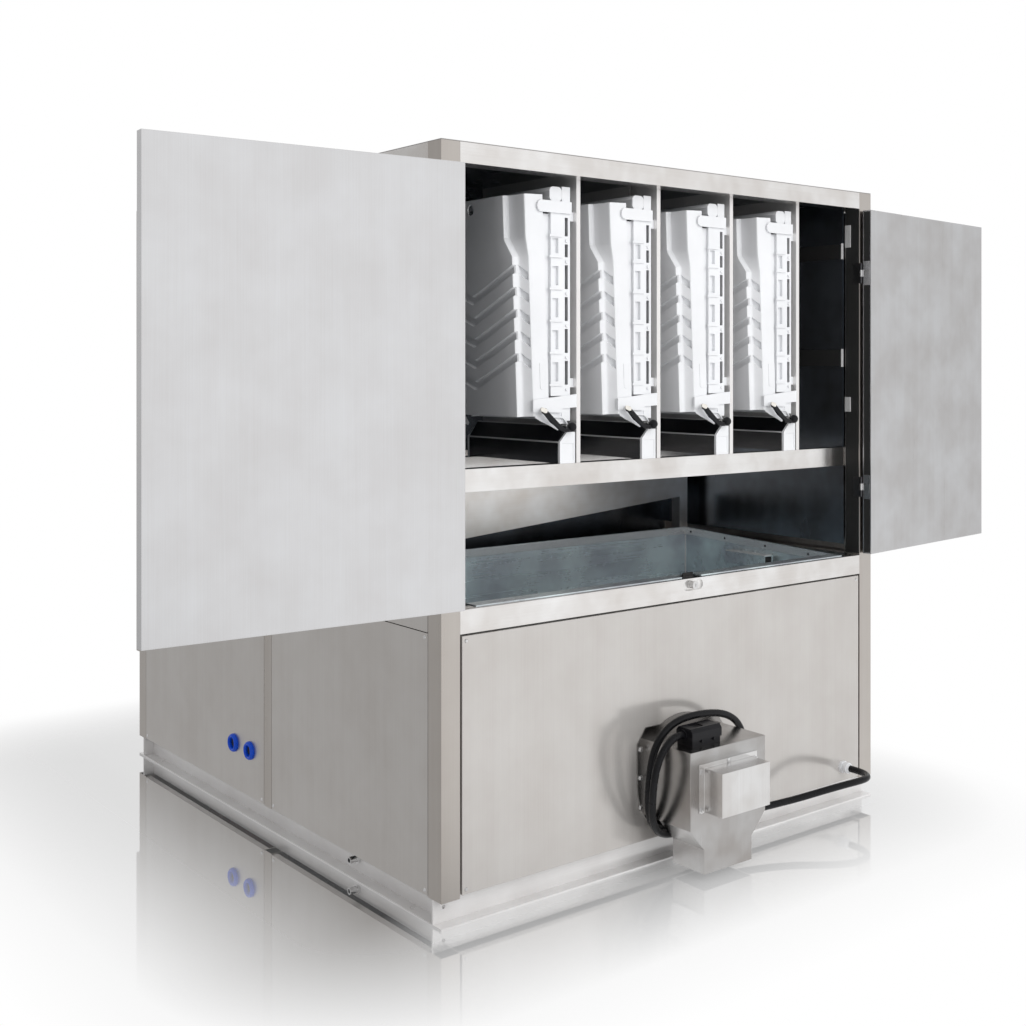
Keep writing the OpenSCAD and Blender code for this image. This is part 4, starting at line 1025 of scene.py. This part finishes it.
@dataclass
class WaterCurtain:
    """A moulded curtain with chevron grooves, which hangs on two pins before an evaporator."""

    maker: MeshMaker
    index: int
    wall: float = 3.5
    lean: float = 2.3
    pivot: tuple[float, float] = (-120.0, 673.0)
    bottom: float = 127.0
    hem: float = 24.0
    top: float = 702.0
    groove_first: float = 292.0
    groove_pitch: float = 57.0
    grooves: int = 5
    shoulder_foot: float = 541.0
    hole_height: float = 676.0
    hole_radius: float = 14.5
    # How many lines on each side of the middle one move with the step, not with the shoulder
    step_lines: int = 5
    # How many levels there are from the pin hole's foot to the top
    hole_levels: int = 4

    # A groove's heights below its upper edge, and how deep it is there
    GROOVE: ClassVar[tuple] = ((23.0, 0.0), (20.5, 1.0), (2.5, 1.0), (0.0, 0.0))
    SHOULDER: ClassVar[tuple[Level, ...]] = (
        Level(583.0, shoulder=0.82),
        Level(592.0, shoulder=1.0, step=1.0),
    )
    UPRIGHTS: ClassVar[tuple[Upright, ...]] = (
        Upright((-112.0, 0.0), (-112.0, 0.0), (0.0, 1.0), 0.0, 20.0),
        Upright((-150.0, 0.0), (-150.0, 0.0), (0.0, 1.0), 0.0, 20.0),
        Upright((-160.0, 0.0), (-167.0, 0.0), (0.0, 1.0), 0.0, 20.0),
        Upright((-163.6, 1.0), (-171.0, 1.0), (0.3, 0.95), 0.0, 20.0),
        Upright((-165.0, 2.8), (-172.5, 3.5), (0.66, 0.75), 0.0, 19.0),
        Upright((-166.0, 4.2), (-173.0, 6.0), (0.66, 0.75), 9.0, 18.0),
        Upright((-172.0, 12.5), (-175.0, 28.0), (0.66, 0.75), 9.5, 11.0),
        Upright((-177.0, 19.5), (-178.0, 48.0), (0.66, 0.75), 8.0, 4.0),
        Upright((-179.5, 22.3), (-180.5, 56.5), (0.66, 0.75), 3.0, 1.0),
        Upright((-183.0, 23.6), (-184.0, 59.0), (0.0, 1.0), 0.0, 0.0),
        Upright((-188.5, 23.0), (-188.0, 59.0), (0.0, 1.0), 0.0, 0.0),
        Upright((-196.5, 23.0), (-193.5, 59.0), (0.8, 0.6), 6.0, 0.0),
        Upright((-199.2, 24.3), (-196.2, 60.3), (1.0, 0.2), 8.2, 0.5),
        Upright((-200.0, 27.5), (-197.0, 63.5), (1.0, 0.0), 9.0, 1.9),
        Upright((-200.0, 80.0), (-197.0, 105.0), (1.0, 0.0), 9.0, 24.5),
        Upright((-200.0, 140.0), (-197.0, 150.0), (1.0, 0.0), 9.0, 50.3),
        Upright((-200.0, 187.5), (-197.0, 187.5), (1.0, 0.0), 9.0, 69.5),
    )
    MIDDLE: ClassVar[Upright] = Upright((-200.0, 202.0), (-197.0, 202.0), (1.0, 0.0), 9.0, 75.0)
    APRON: ClassVar[Prism] = Prism(
        (
            (-136.0, 122.0), (-114.0, 111.0), (-93.0, 103.0), (-59.5, 87.5),
            (-56.5, 94.5), (-93.0, 150.0), (-136.0, 150.0),
        ),
        0.4,
        3.6,
    )
    PLATE: ClassVar[Prism] = Prism(
        (
            (-112.5, 195.0), (-134.0, 195.0), (-138.0, 197.5),
            (-139.5, 202.0), (-139.5, 264.0), (-112.5, 264.0),
        ),
        -1.2,
        2.0,
    )
    BOSS: ClassVar[Outline] = ((4.1, 0.0), (10.0, 0.0), (10.0, 11.0), (4.1, 11.0))
    WHITE: ClassVar[Dress] = Dress("white_moulding", "white_plastic", 0.0013, corner=32.0)

    def levels(self) -> list[Level]:
        """The wall's heights, from the bottom to the top.

        Returns:
            The levels.
        """
        made = [Level(self.bottom), Level(self.bottom + self.hem)]
        for k in range(self.grooves):
            upper = self.groove_first + k * self.groove_pitch
            for drop, groove in self.GROOVE:
                made.append(Level(upper - drop, groove=groove, chevron=1.0))
        made += [Level(self.shoulder_foot), *self.SHOULDER]
        for offset in (-self.hole_radius, 0.0, self.hole_radius):
            made.append(Level(self.hole_height + offset, shoulder=1.0, step=1.0))
        made.append(Level(self.top, shoulder=1.0, step=1.0))
        return made

    def place(self, x: float, y: float, z: float, leaned: bool = True) -> Vector:
        """Turns a place on the curtain into the row frame.

        Args:
            x: Distance from the divider, in millimetres.
            y: Distance from the module's front, in millimetres.
            z: Height above the middle rails, in millimetres.
            leaned: Whether the place leans with the curtain's body.

        Returns:
            The point in metres.
        """
        if leaned:
            a = math.radians(-self.lean)
            x0, z0 = x - self.pivot[0], z - self.pivot[1]
            x = self.pivot[0] + x0 * math.cos(a) + z0 * math.sin(a)
            z = self.pivot[1] - x0 * math.sin(a) + z0 * math.cos(a)
        return MODULES.point(self.index, x, y, z)

    def wall_grid(self, inside: float) -> list[list[Vector]]:
        """The wall's points, level by level.

        Args:
            inside: How far inward of the outer skin the points lie.

        Returns:
            One list of points for each level.
        """
        back = [upright.mirrored(MODULES.depth) for upright in reversed(self.UPRIGHTS)]
        uprights = [*self.UPRIGHTS, self.MIDDLE, *back]
        middle = len(self.UPRIGHTS)
        corner_cut = self.hole_radius * (1 - math.sqrt(0.5))
        rows = []
        for level in self.levels():
            row = []
            for i, line in enumerate(uprights):
                side = level.step if abs(i - middle) <= self.step_lines else level.shoulder
                x = line.low[0] + (line.high[0] - line.low[0]) * side
                y = line.low[1] + (line.high[1] - line.low[1]) * level.shoulder
                move = line.depth * level.groove + inside
                z = level.height - line.fall * level.chevron
                offset = level.height - self.hole_height
                if abs(i - middle) == 1 and math.isclose(abs(offset), self.hole_radius):
                    y += math.copysign(corner_cut, middle - i)
                    z -= math.copysign(corner_cut, offset)
                row.append(self.place(x + line.inward[0] * move, y + line.inward[1] * move, z))
            rows.append(row)
        return rows

    def add_wall(self, bm: bmesh.types.BMesh) -> None:
        """Adds the wall with its pin hole on the side.

        Args:
            bm: The geometry to add to.
        """
        skins = []
        for inside in (0.0, self.wall):
            skins.append([[bm.verts.new(p) for p in row] for row in self.wall_grid(inside)])
        middle = len(self.UPRIGHTS)
        hole_foot = len(skins[0]) - self.hole_levels
        edges: dict[tuple, int] = {}
        for i in range(len(skins[0]) - 1):
            for j in range(len(skins[0][0]) - 1):
                if j in (middle - 1, middle) and i in (hole_foot, hole_foot + 1):
                    continue
                corners = ((i, j), (i, j + 1), (i + 1, j + 1), (i + 1, j))
                for skin in skins:
                    bm.faces.new([skin[r][c] for r, c in corners])
                for a, b in zip(corners, corners[1:] + corners[:1]):
                    key = (min(a, b), max(a, b))
                    edges[key] = edges.get(key, 0) + 1
        for (a, b), count in edges.items():
            if count == 1:
                rim = [skins[0][a[0]][a[1]], skins[0][b[0]][b[1]]]
                rim += [skins[1][b[0]][b[1]], skins[1][a[0]][a[1]]]
                bm.faces.new(rim)

    def build(self, body: str) -> None:
        """Makes the curtain in place of its node.

        Args:
            body: The body that it moves with.
        """
        bm = bmesh.new()
        self.add_wall(bm)
        for front in (True, False):
            for prism, leaned in ((self.APRON, False), (self.PLATE, True)):
                ends = []
                for y in (prism.near, prism.far):
                    y = y if front else MODULES.depth - y
                    points = [self.place(x, y, z, leaned) for x, z in prism.outline]
                    ends.append([bm.verts.new(point) for point in points])
                self.maker.join_rings(bm, ends)
            at = self.place(self.pivot[0], 0.0 if front else MODULES.depth, self.pivot[1])
            turn = facing(at, (0, 1, 0) if front else (0, -1, 0))
            self.maker.add_lathe(bm, self.BOSS, turn, closed=True)
        number = self.index + 1
        curtain = self.maker.from_bmesh(f"water_curtain_{number}", bm, self.WHITE, body)
        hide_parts(f"curtain_{number}")


@dataclass
class IceSlides:
    """The sloped plates that lead the ice from each evaporator down into the hopper."""

    maker: MeshMaker
    margin: float = 5.0
    PLATE: ClassVar[Outline] = (
        (-57.0, 57.0), (-53.0, 57.0), (-25.0, 94.0), (-25.0, 97.6), (-28.0, 97.6),
    )
    # Pale strips along the slide's and the trough's top edges: painted highlight lines
    HIGHLIGHT_STRIPS: ClassVar[tuple[Outline, ...]] = (
        ((-28.4, 97.0), (-24.6, 97.0), (-24.6, 99.8), (-28.4, 99.8)),
        ((-58.2, 54.0), (-56.5, 54.0), (-56.5, 58.2), (-58.2, 58.2)),
    )
    BLACK: ClassVar[Dress] = Dress("black_moulding", "black_plastic", 0.0006)
    # Pale steel for the painted highlight strips
    BRIGHT: ClassVar[Dress] = Dress("pale_metal", "bright_steel", 0.0006)

    def bar(self, outline: Outline) -> Prism:
        """A bar that runs through a module, between its margins."""
        return Prism(outline, self.margin, MODULES.depth - self.margin)

    def build(self) -> None:
        """Makes the slides, with pale strips along the top edges of slide and trough that paint
        their highlight lines.
        """
        places = MODULES.places()
        slides = self.maker.bars("ice_slide_plates", [self.bar(self.PLATE)], self.BLACK, places)
        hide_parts("ice_slides")
        edges = [self.bar(outline) for outline in self.HIGHLIGHT_STRIPS]
        self.maker.bars("slide_highlight_strips", edges, self.BRIGHT, places)


@dataclass
class WaterPorts:
    """The two round-edged blue ports for water on the left side."""

    maker: MeshMaker
    places: tuple[float, float] = (1000.3, 1107.2)
    height: float = 205.1
    sides: int = 40
    RING: ClassVar[Outline] = (
        (27.5, -1.0), (27.5, 3.0), (26.4, 7.0), (23.6, 10.4),
        (20.4, 11.0), (17.6, 9.4), (15.8, 6.0), (15.8, -1.0),
    )
    # A short black plug in each port's hole: painted shade for the hole's depth
    BORE_SHADE: ClassVar[Outline] = ((15.9, -1.5), (15.9, 0.6))
    BLUE: ClassVar[Dress] = Dress("blue_moulding", "blue_plastic", smooth=70.0)
    BLACK: ClassVar[Dress] = Dress("gasket_rubber", "black_plastic")

    def build(self) -> None:
        """Makes the ports in place of their node."""
        ring = bmesh.new()
        bore = bmesh.new()
        for y in self.places:
            turn = facing(cab(0.0, y, self.height), (-1, 0, 0))
            self.maker.add_lathe(ring, self.RING, turn, self.sides, closed=True)
            self.maker.add_lathe(bore, self.BORE_SHADE, turn, self.sides)
        ports = self.maker.from_bmesh("water_ports", ring, self.BLUE)
        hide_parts("water_fittings")
        # Painted shade: black plugs in the ports' holes
        self.maker.from_bmesh("water_port_shade_discs", bore, self.BLACK)


@dataclass
class ModuleDetails:
    """Small moulded parts at the front of each module: the lever's clip and a rounded rim."""

    maker: MeshMaker
    clip_steps: int = 8
    # The lever clip's two rounded ends, each as a place and a radius
    CLIP_ENDS: ClassVar[tuple[Point, Point]] = ((-136.0, 144.5, 5.5), (-124.5, 140.5, 6.0))
    CLIP_Y: ClassVar[tuple[float, float]] = (-29.0, -24.4)
    RIM: ClassVar[Prism] = Prism(
        (
            (-96.0, 133.0), (-85.7, 125.9), (-50.5, 123.9), (-44.0, 121.5),
            (-33.5, 110.5), (-29.0, 103.0), (-33.0, 101.5), (-37.0, 108.5),
            (-46.5, 118.2), (-51.5, 119.6), (-85.0, 121.6), (-96.0, 127.0),
        ),
        -4.5,
        1.5,
    )
    PANEL: ClassVar[Prism] = Prism(
        ((-110.0, 150.0), (-32.0, 150.0), (-32.0, 104.0), (-95.0, 104.0)), 2.0, 4.5
    )
    STRIP: ClassVar[Prism] = Prism(
        ((-117.0, 186.0), (-48.5, 186.0), (-48.5, 655.0), (-117.0, 655.0)), 9.2, 12.0
    )
    CREAM: ClassVar[Dress] = Dress("cream_moulding", "white_plastic", 0.0010)
    WHITE: ClassVar[Dress] = Dress("white_moulding", "white_plastic", 0.0010)

    def clip(self) -> Prism:
        """The clip that holds the lever's pin.

        Returns:
            A bar with round ends.
        """
        (x0, z0, r0), (x1, z1, r1) = self.CLIP_ENDS
        along = math.atan2(z1 - z0, x1 - x0)
        outline = []
        for x, z, radius, turned in ((x0, z0, r0, 0.5), (x1, z1, r1, 1.5)):
            for step in range(self.clip_steps + 1):
                a = along + math.pi * (turned + step / self.clip_steps)
                outline.append((x + radius * math.cos(a), z + radius * math.sin(a)))
        return Prism(tuple(outline), *self.CLIP_Y)

    def build(self) -> None:
        """Makes the parts of all four modules."""
        for name, prism, dress in (
            ("lever_clips", self.clip(), self.CREAM),
            ("module_rims", self.RIM, self.WHITE),
            ("module_rim_panels", self.PANEL, self.WHITE),
            ("column_backs", self.STRIP, self.WHITE),
        ):
            self.maker.bars(name, [prism], dress, MODULES.places())


@dataclass
class CabinetDetails:
    """Ceiling studs, screws, the hopper's rivets, plates inside the front posts, and pieces of
    painted shade and highlight.
    """

    maker: MeshMaker
    ceiling: float = 1868.0
    rivet_x: float = 1529.0
    sides: int = 20

    # The faces of the right front post and of the right bay's wall, from the left
    POST: ClassVar[float] = 1594.0
    # A near-black sheet this thick lies on the post's face as painted shade; the plates stand on it
    SHADE_SHEET_THICK: ClassVar[float] = 0.3
    POST_OVER_SHADE_SHEET: ClassVar[float] = POST - SHADE_SHEET_THICK
    WALL: ClassVar[float] = 1592.0
    SIDEWAYS: ClassVar[dict[str, tuple[Prism, ...]]] = {
        # Painted shade: a near-black sheet on the right front post's face
        "post_shade_sheet": (plate((3.5, 54.5), (768.0, 1866.0), POST, SHADE_SHEET_THICK),),
        "post_plates": (
            plate((33.0, 54.0), (1729.0, 1799.0), POST_OVER_SHADE_SHEET, 3.0),
            plate((33.0, 54.0), (1211.0, 1257.0), POST_OVER_SHADE_SHEET, 4.0),
        ),
        # Painted shade: near-black plates for the shaded insides of the bay's wall channels
        "wall_channel_shade_plates": (
            plate((62.0, 560.0), (1354.0, 1407.0), WALL, 7.0),
            plate((62.0, 560.0), (1695.0, 1741.0), WALL, 7.0),
        ),
        "channel_ends": (
            plate((60.5, 64.0), (1352.0, 1409.0), WALL, 9.0),
            plate((60.5, 64.0), (1693.0, 1743.0), WALL, 9.0),
        ),
        # The hopper's top band as flat plates in lighter steel: painted highlight for the fold
        "hopper_side_band": (
            Prism(((66.0, 739.0), (696.0, 764.0), (696.0, 788.5), (66.0, 763.5)), 1530.0, 1528.8),
        ),
    }
    ENDWAYS: ClassVar[dict[str, Prism]] = {
        "hopper_back_band": Prism(
            ((122.0, 765.0), (1529.0, 765.0), (1529.0, 789.5), (122.0, 789.5)), 694.6, 696.2
        ),
        # Painted shade: a near-black plate on the bracket's open end
        "bracket_mouth_shade": Prism(
            ((1495.5, 695.0), (1526.5, 695.0), (1526.5, 729.5), (1495.5, 729.5)), 301.5, 304.0
        ),
        # Painted highlight: a pale strip on the bracket's top, a lighter copy of the hopper steel
        "bracket_top_highlight": Prism(
            ((1491.0, 733.6), (1529.5, 733.6), (1529.5, 735.2), (1491.0, 735.2)), 299.0, 476.0
        ),
    }
    # Painted shade: a near-black rubber finish on steel plates
    PAINTED_SHADE: ClassVar[Dress] = Dress("gasket_rubber", "dark_steel", 0.0006)
    BRIGHT: ClassVar[Dress] = Dress("pale_metal", "bright_steel", 0.0006)
    # Painted highlight: the hopper's bands in a lighter copy of its steel
    BAND: ClassVar[Dress] = Dress("band_painted_highlight", "hopper_steel", 0.0006)
    DRESSES: ClassVar[dict[str, Dress]] = {
        "post_shade_sheet": PAINTED_SHADE,
        "post_plates": BRIGHT,
        "wall_channel_shade_plates": PAINTED_SHADE,
        "channel_ends": BRIGHT,
        "hopper_side_band": BAND,
        "hopper_back_band": BAND,
        "bracket_mouth_shade": Dress("gasket_rubber", "hopper_steel", 0.0006),
        "bracket_top_highlight": Dress("pale_metal", "hopper_steel", 0.0006),
    }

    # Turned shapes as radius and height pairs, and where each stands
    STUD: ClassVar[Outline] = ((9.0, -1.0), (9.0, 2.0), (5.0, 3.0), (5.0, 16.0), (4.0, 17.5))
    STUDS: ClassVar[tuple] = ((494.9, 358.2), (578.4, 511.5), (979.6, 316.1), (1244.0, 394.3))
    SCREW: ClassVar[Outline] = ((6.5, -0.5), (6.5, 1.2), (5.2, 2.6), (2.6, 3.4))
    COVER_SCREW: ClassVar[Point] = (805.0, -180.0, 307.0)
    # A pale bead up the hopper's back right corner: painted highlight on the corner's edge
    WELD: ClassVar[Outline] = (
        (2.6, 0.0), (3.4, 20.0), (2.6, 60.0), (3.2, 120.0), (2.7, 175.0), (3.2, 228.0),
    )
    CORNER_HIGHLIGHT_FOOT: ClassVar[Point] = (1530.0, 697.5, 558.0)
    RIVET: ClassVar[Outline] = ((4.0, -0.5), (4.0, 0.8), (2.8, 1.9))
    RIVETS: ClassVar[tuple] = ((150.0, 754.3), (330.0, 761.5), (510.0, 768.6), (670.0, 775.0))

    def turned(
        self, name: str, outline: Outline, places: list[Point], way: Point, finish: str
    ) -> None:
        """Makes one turned shape at several places.

        Args:
            name: The piece's name.
            outline: Radius and height pairs in millimetres.
            places: The places, in millimetres in the cabinet.
            way: The direction that the shapes stand out in.
            finish: The finish's name.
        """
        bm = bmesh.new()
        for place in places:
            self.maker.add_lathe(bm, outline, facing(cab(*place), way), self.sides)
        self.maker.from_bmesh(name, bm, Dress(finish, "bright_screw"))

    def build(self) -> None:
        """Makes the plates, bands, studs, screws, rivets and the pale corner bead; several plates,
        the bands and the bead are painted shade and highlight.
        """
        for name, prisms in self.SIDEWAYS.items():
            self.maker.bars(name, prisms, self.DRESSES[name], (from_side,))
        for name, prism in self.ENDWAYS.items():
            self.maker.bars(name, [prism], self.DRESSES[name])
        studs = [(x, y, self.ceiling) for x, y in self.STUDS]
        self.turned("ceiling_studs", self.STUD, studs, (0, 0, -1), "bright_metal")
        self.turned("cover_screw", self.SCREW, [self.COVER_SCREW], (0, -1, 0), "bright_metal")
        self.turned("hopper_corner_highlight", self.WELD, [self.CORNER_HIGHLIGHT_FOOT], (0, 0, 1), "pale_metal")
        rivets = [(self.rivet_x, y, z) for y, z in self.RIVETS]
        self.turned("hopper_rivets", self.RIVET, rivets, (-1, 0, 0), "dark_metal")


@dataclass
class PowerCable:
    """The supply cable, from its gland round the spout and into its connector."""

    finishes: Finishes
    diameter: float = 0.020
    steps: int = 8
    roundness: int = 6
    # The route's points, in millimetres in the cabinet
    ROUTE: ClassVar[tuple[Point, ...]] = (
        (1507, -32, 117), (1507, -52, 117), (1504, -84, 117), (1488, -112, 118), (1459, -129, 119),
        (1416, -131, 120), (1362, -121, 117), (1290, -102, 109), (1210, -78, 97), (1120, -53, 89),
        (1025, -32, 84), (925, -20, 85), (830, -16, 90), (755, -17, 95), (694, -24, 104),
        (650, -40, 134), (631, -52, 188), (628, -60, 250), (630, -66, 310), (650, -72, 366),
        (702, -75, 402), (768, -73, 408), (838, -71, 405), (908, -69, 393), (968, -66, 360),
        (997, -61, 303), (998, -56, 243), (992, -52, 180), (958, -50, 124), (890, -49, 100),
        (815, -49, 94), (745, -49, 90), (686, -52, 96), (640, -64, 128), (617, -82, 184),
        (606, -98, 245), (606, -108, 302), (630, -112, 350), (668, -112, 376), (700, -112, 376),
    )

    def centreline(self) -> list[Vector]:
        """The smooth line that the route's points pull, which starts and ends on them.

        Returns:
            Points in the row frame.
        """
        route = [cab(*point) for point in self.ROUTE]
        route = [2 * route[0] - route[1], *route, 2 * route[-1] - route[-2]]
        line = []
        for a, b, c, d in zip(route, route[1:], route[2:], route[3:]):
            for j in range(self.steps):
                t = j / self.steps
                u = 1 - t
                near = 3 * t**3 - 6 * t**2 + 4
                far = 3 * u**3 - 6 * u**2 + 4
                line.append((u**3 * a + near * b + far * c + t**3 * d) / 6)
        line.append(route[-2])
        return line

    def build(self, nodes: dict[str, bpy.types.Object]) -> None:
        """Args:
            nodes: The CAD nodes by name; not used.
        """
        line = self.centreline()
        curve = bpy.data.curves.new("supply_cable", "CURVE")
        curve.dimensions = "3D"
        curve.bevel_depth = self.diameter / 2
        curve.bevel_resolution = self.roundness
        curve.use_fill_caps = True
        spline = curve.splines.new("POLY")
        spline.points.add(len(line) - 1)
        for point, place in zip(spline.points, line):
            point.co = (*place, 1.0)
        curve.materials.append(self.finishes.made["cable_sheath"])
        cable = bpy.data.objects.new("supply_cable", curve)
        bpy.context.scene.collection.objects.link(cable)
        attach(cable, BODY)
        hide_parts("power_cable")


@dataclass
class Studio:
    """The pale floor, the light and the camera; its lengths are in metres."""

    position: Point = (-2.63057, -3.52219, 1.35159)
    yaw: float = 37.895
    focal_pixels: float = 1321.06
    horizon_pixel: float = 367.06
    image_pixels: float = 1026.0
    sensor: float = 36.0
    shade_middle: Point = (-0.20, 0.05, 0.0)
    shade_half: Point = (0.80, 0.90, 0.0)
    shade_reach: float = 0.75
    shade_share: float = 0.55
    image_middle: Point = (-0.12, 0.14, 0.0)
    image_half: Point = (0.80, 0.90, 0.0)
    image_reach: float = 0.60
    image_share: float = 0.92
    key_place: Point = (0.2, -5.2, 3.0)
    key_aim: Point = (0.0, 0.0, 0.9)
    key_size: float = 3.5
    key_power: float = 108.0
    sight: float = 100.0
    floor_half: float = 30.0
    floor_tone: Colour = (0.88, 0.88, 0.885)
    floor_rough: float = 0.6
    mirror_rough: float = 0.03

    def camera(self) -> None:
        """Places the camera where the photograph was taken."""
        data = bpy.data.cameras.new("view")
        data.sensor_width = self.sensor
        data.lens = self.focal_pixels / self.image_pixels * self.sensor
        data.shift_y = (self.horizon_pixel - self.image_pixels / 2) / self.image_pixels
        data.clip_end = self.sight
        camera = bpy.data.objects.new("view", data)
        camera.location = self.position
        camera.rotation_euler = (math.radians(90), 0, math.radians(-self.yaw))
        bpy.context.scene.collection.objects.link(camera)
        bpy.context.scene.camera = camera
        log.info("camera placed")

    def world(self) -> None:
        """A soft light that is brighter in front of the machine and behind it than beside it."""
        world = bpy.data.worlds.new("studio")
        bpy.context.scene.world = world
        world.use_nodes = True
        link = Link(world.node_tree)
        level = link.node("ShaderNodeGroup", node_tree=GROUPS.studio_level())
        link.join(link.node("ShaderNodeTexCoord").outputs["Generated"], level.inputs[0])
        path = link.node("ShaderNodeLightPath")
        seen = link.node("ShaderNodeMix", data_type="RGBA")
        link.join(path.outputs["Is Camera Ray"], seen.inputs["Factor"])
        link.join(level.outputs["Level"], seen.inputs["A"])
        seen.inputs["B"].default_value = (1.0, 1.0, 1.0, 1.0)
        back = world.node_tree.nodes["Background"]
        link.join(seen.outputs["Result"], back.inputs["Color"])

    def floor_material(self) -> bpy.types.Material:
        """A polished white floor with the machine's soft shadow and mirror image near it.

        Returns:
            The material.
        """
        material, link, matt = start_material("floor_gloss")
        matt.inputs["Base Color"].default_value = (*self.floor_tone, 1.0)
        matt.inputs["Roughness"].default_value = self.floor_rough
        matt.inputs["Specular IOR Level"].default_value = 0.0
        white = link.node("ShaderNodeEmission")
        mirror = link.node("ShaderNodeBsdfGlossy")
        mirror.inputs["Roughness"].default_value = self.mirror_rough
        place = link.node("ShaderNodeNewGeometry").outputs["Position"]
        level = link.node("ShaderNodeGroup", node_tree=GROUPS.studio_level())
        link.join(link.vector("NORMALIZE", place).outputs[0], level.inputs[0])
        mirrored = link.node("ShaderNodeEmission")
        link.join(level.outputs["Level"], mirrored.inputs["Color"])
        path = link.node("ShaderNodeLightPath").outputs
        shaded = self.near(link, place, self.shade_middle, self.shade_half, self.shade_reach)
        imaged = self.near(link, place, self.image_middle, self.image_half, self.image_reach)
        ground = self.mixed(link, link.math("MULTIPLY", shaded, self.shade_share), white, matt)
        shown = self.mixed(link, link.math("MULTIPLY", imaged, self.image_share), ground, mirror)
        unseen = self.mixed(link, path["Is Glossy Ray"], matt, mirrored)
        whole = self.mixed(link, path["Is Camera Ray"], unseen, shown)
        link.join(whole.outputs[0], material.node_tree.nodes["Material Output"].inputs["Surface"])
        return material

    @staticmethod
    def near(
        link: Link, place: bpy.types.NodeSocket, middle: tuple, half: tuple, reach: float
    ) -> bpy.types.NodeSocket:
        """How near a place is to a rectangle on the floor.

        Args:
            link: The material's node helper.
            place: The place's output.
            middle: The rectangle's middle, in metres.
            half: Half of its width and depth, in metres.
            reach: The distance from it where the value ends, in metres.

        Returns:
            A value from 1 on the rectangle to 0 at the reach.
        """
        value = place
        for operation, numbers in (
            ("SUBTRACT", middle),
            ("ABSOLUTE", None),
            ("SUBTRACT", half),
            ("MAXIMUM", (0.0, 0.0, 0.0)),
        ):
            value = link.vector(operation, value, numbers).outputs[0]
        length = link.vector("LENGTH", value).outputs["Value"]
        return link.mapped(length, 0.0, reach, 1.0, 0.0)

    @staticmethod
    def mixed(
        link: Link, share: bpy.types.NodeSocket, a: bpy.types.Node, b: bpy.types.Node
    ) -> bpy.types.Node:
        """Mixes two shaders.

        Args:
            link: The material's node helper.
            share: How much of the second shader there is.
            a: The first shader.
            b: The second shader.

        Returns:
            The mix.
        """
        mix = link.node("ShaderNodeMixShader")
        link.join(share, mix.inputs["Fac"])
        link.join(a.outputs[0], mix.inputs[1])
        link.join(b.outputs[0], mix.inputs[2])
        return mix

    def floor(self) -> None:
        """Lays the floor."""
        bm = bmesh.new()
        bmesh.ops.create_grid(bm, x_segments=1, y_segments=1, size=self.floor_half)
        mesh = bpy.data.meshes.new("floor")
        bm.to_mesh(mesh)
        bm.free()
        mesh.materials.append(self.floor_material())
        floor = bpy.data.objects.new("floor", mesh)
        bpy.context.scene.collection.objects.link(floor)

    def lamp(self) -> None:
        """One large soft lamp in front of the machine, above it and to its right."""
        data = bpy.data.lights.new("key", "AREA")
        data.size = self.key_size
        data.energy = self.key_power
        lamp = bpy.data.objects.new("key", data)
        lamp.location = self.key_place
        direction = Vector(self.key_aim) - Vector(self.key_place)
        lamp.rotation_euler = direction.to_track_quat("-Z", "Y").to_euler()
        lamp.visible_glossy = False
        bpy.context.scene.collection.objects.link(lamp)

    def build(self) -> None:
        """Makes everything round the machine."""
        self.world()
        self.floor()
        self.lamp()
        bpy.context.scene.view_settings.view_transform = "Standard"
        log.info("studio made")


def main() -> None:
    """Builds the camera, the finishes, the cable, the small pieces and the studio."""
    logging.basicConfig(level=logging.INFO, format="%(name)s: %(message)s")
    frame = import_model()
    studio = Studio()
    studio.camera()
    finishes = Finishes()
    finishes.build()
    PowerCable(finishes).build(frame["nodes"])
    Dresser(finishes).dress(frame["nodes"])
    maker = MeshMaker(finishes)
    for index, letter in enumerate("abcd"):
        WaterCurtain(maker, index).build(f"curtain_{letter}")
    IceSlides(maker).build()
    WaterPorts(maker).build()
    ModuleDetails(maker).build()
    CabinetDetails(maker).build()
    studio.build()


if __name__ == "__main__":
    main()
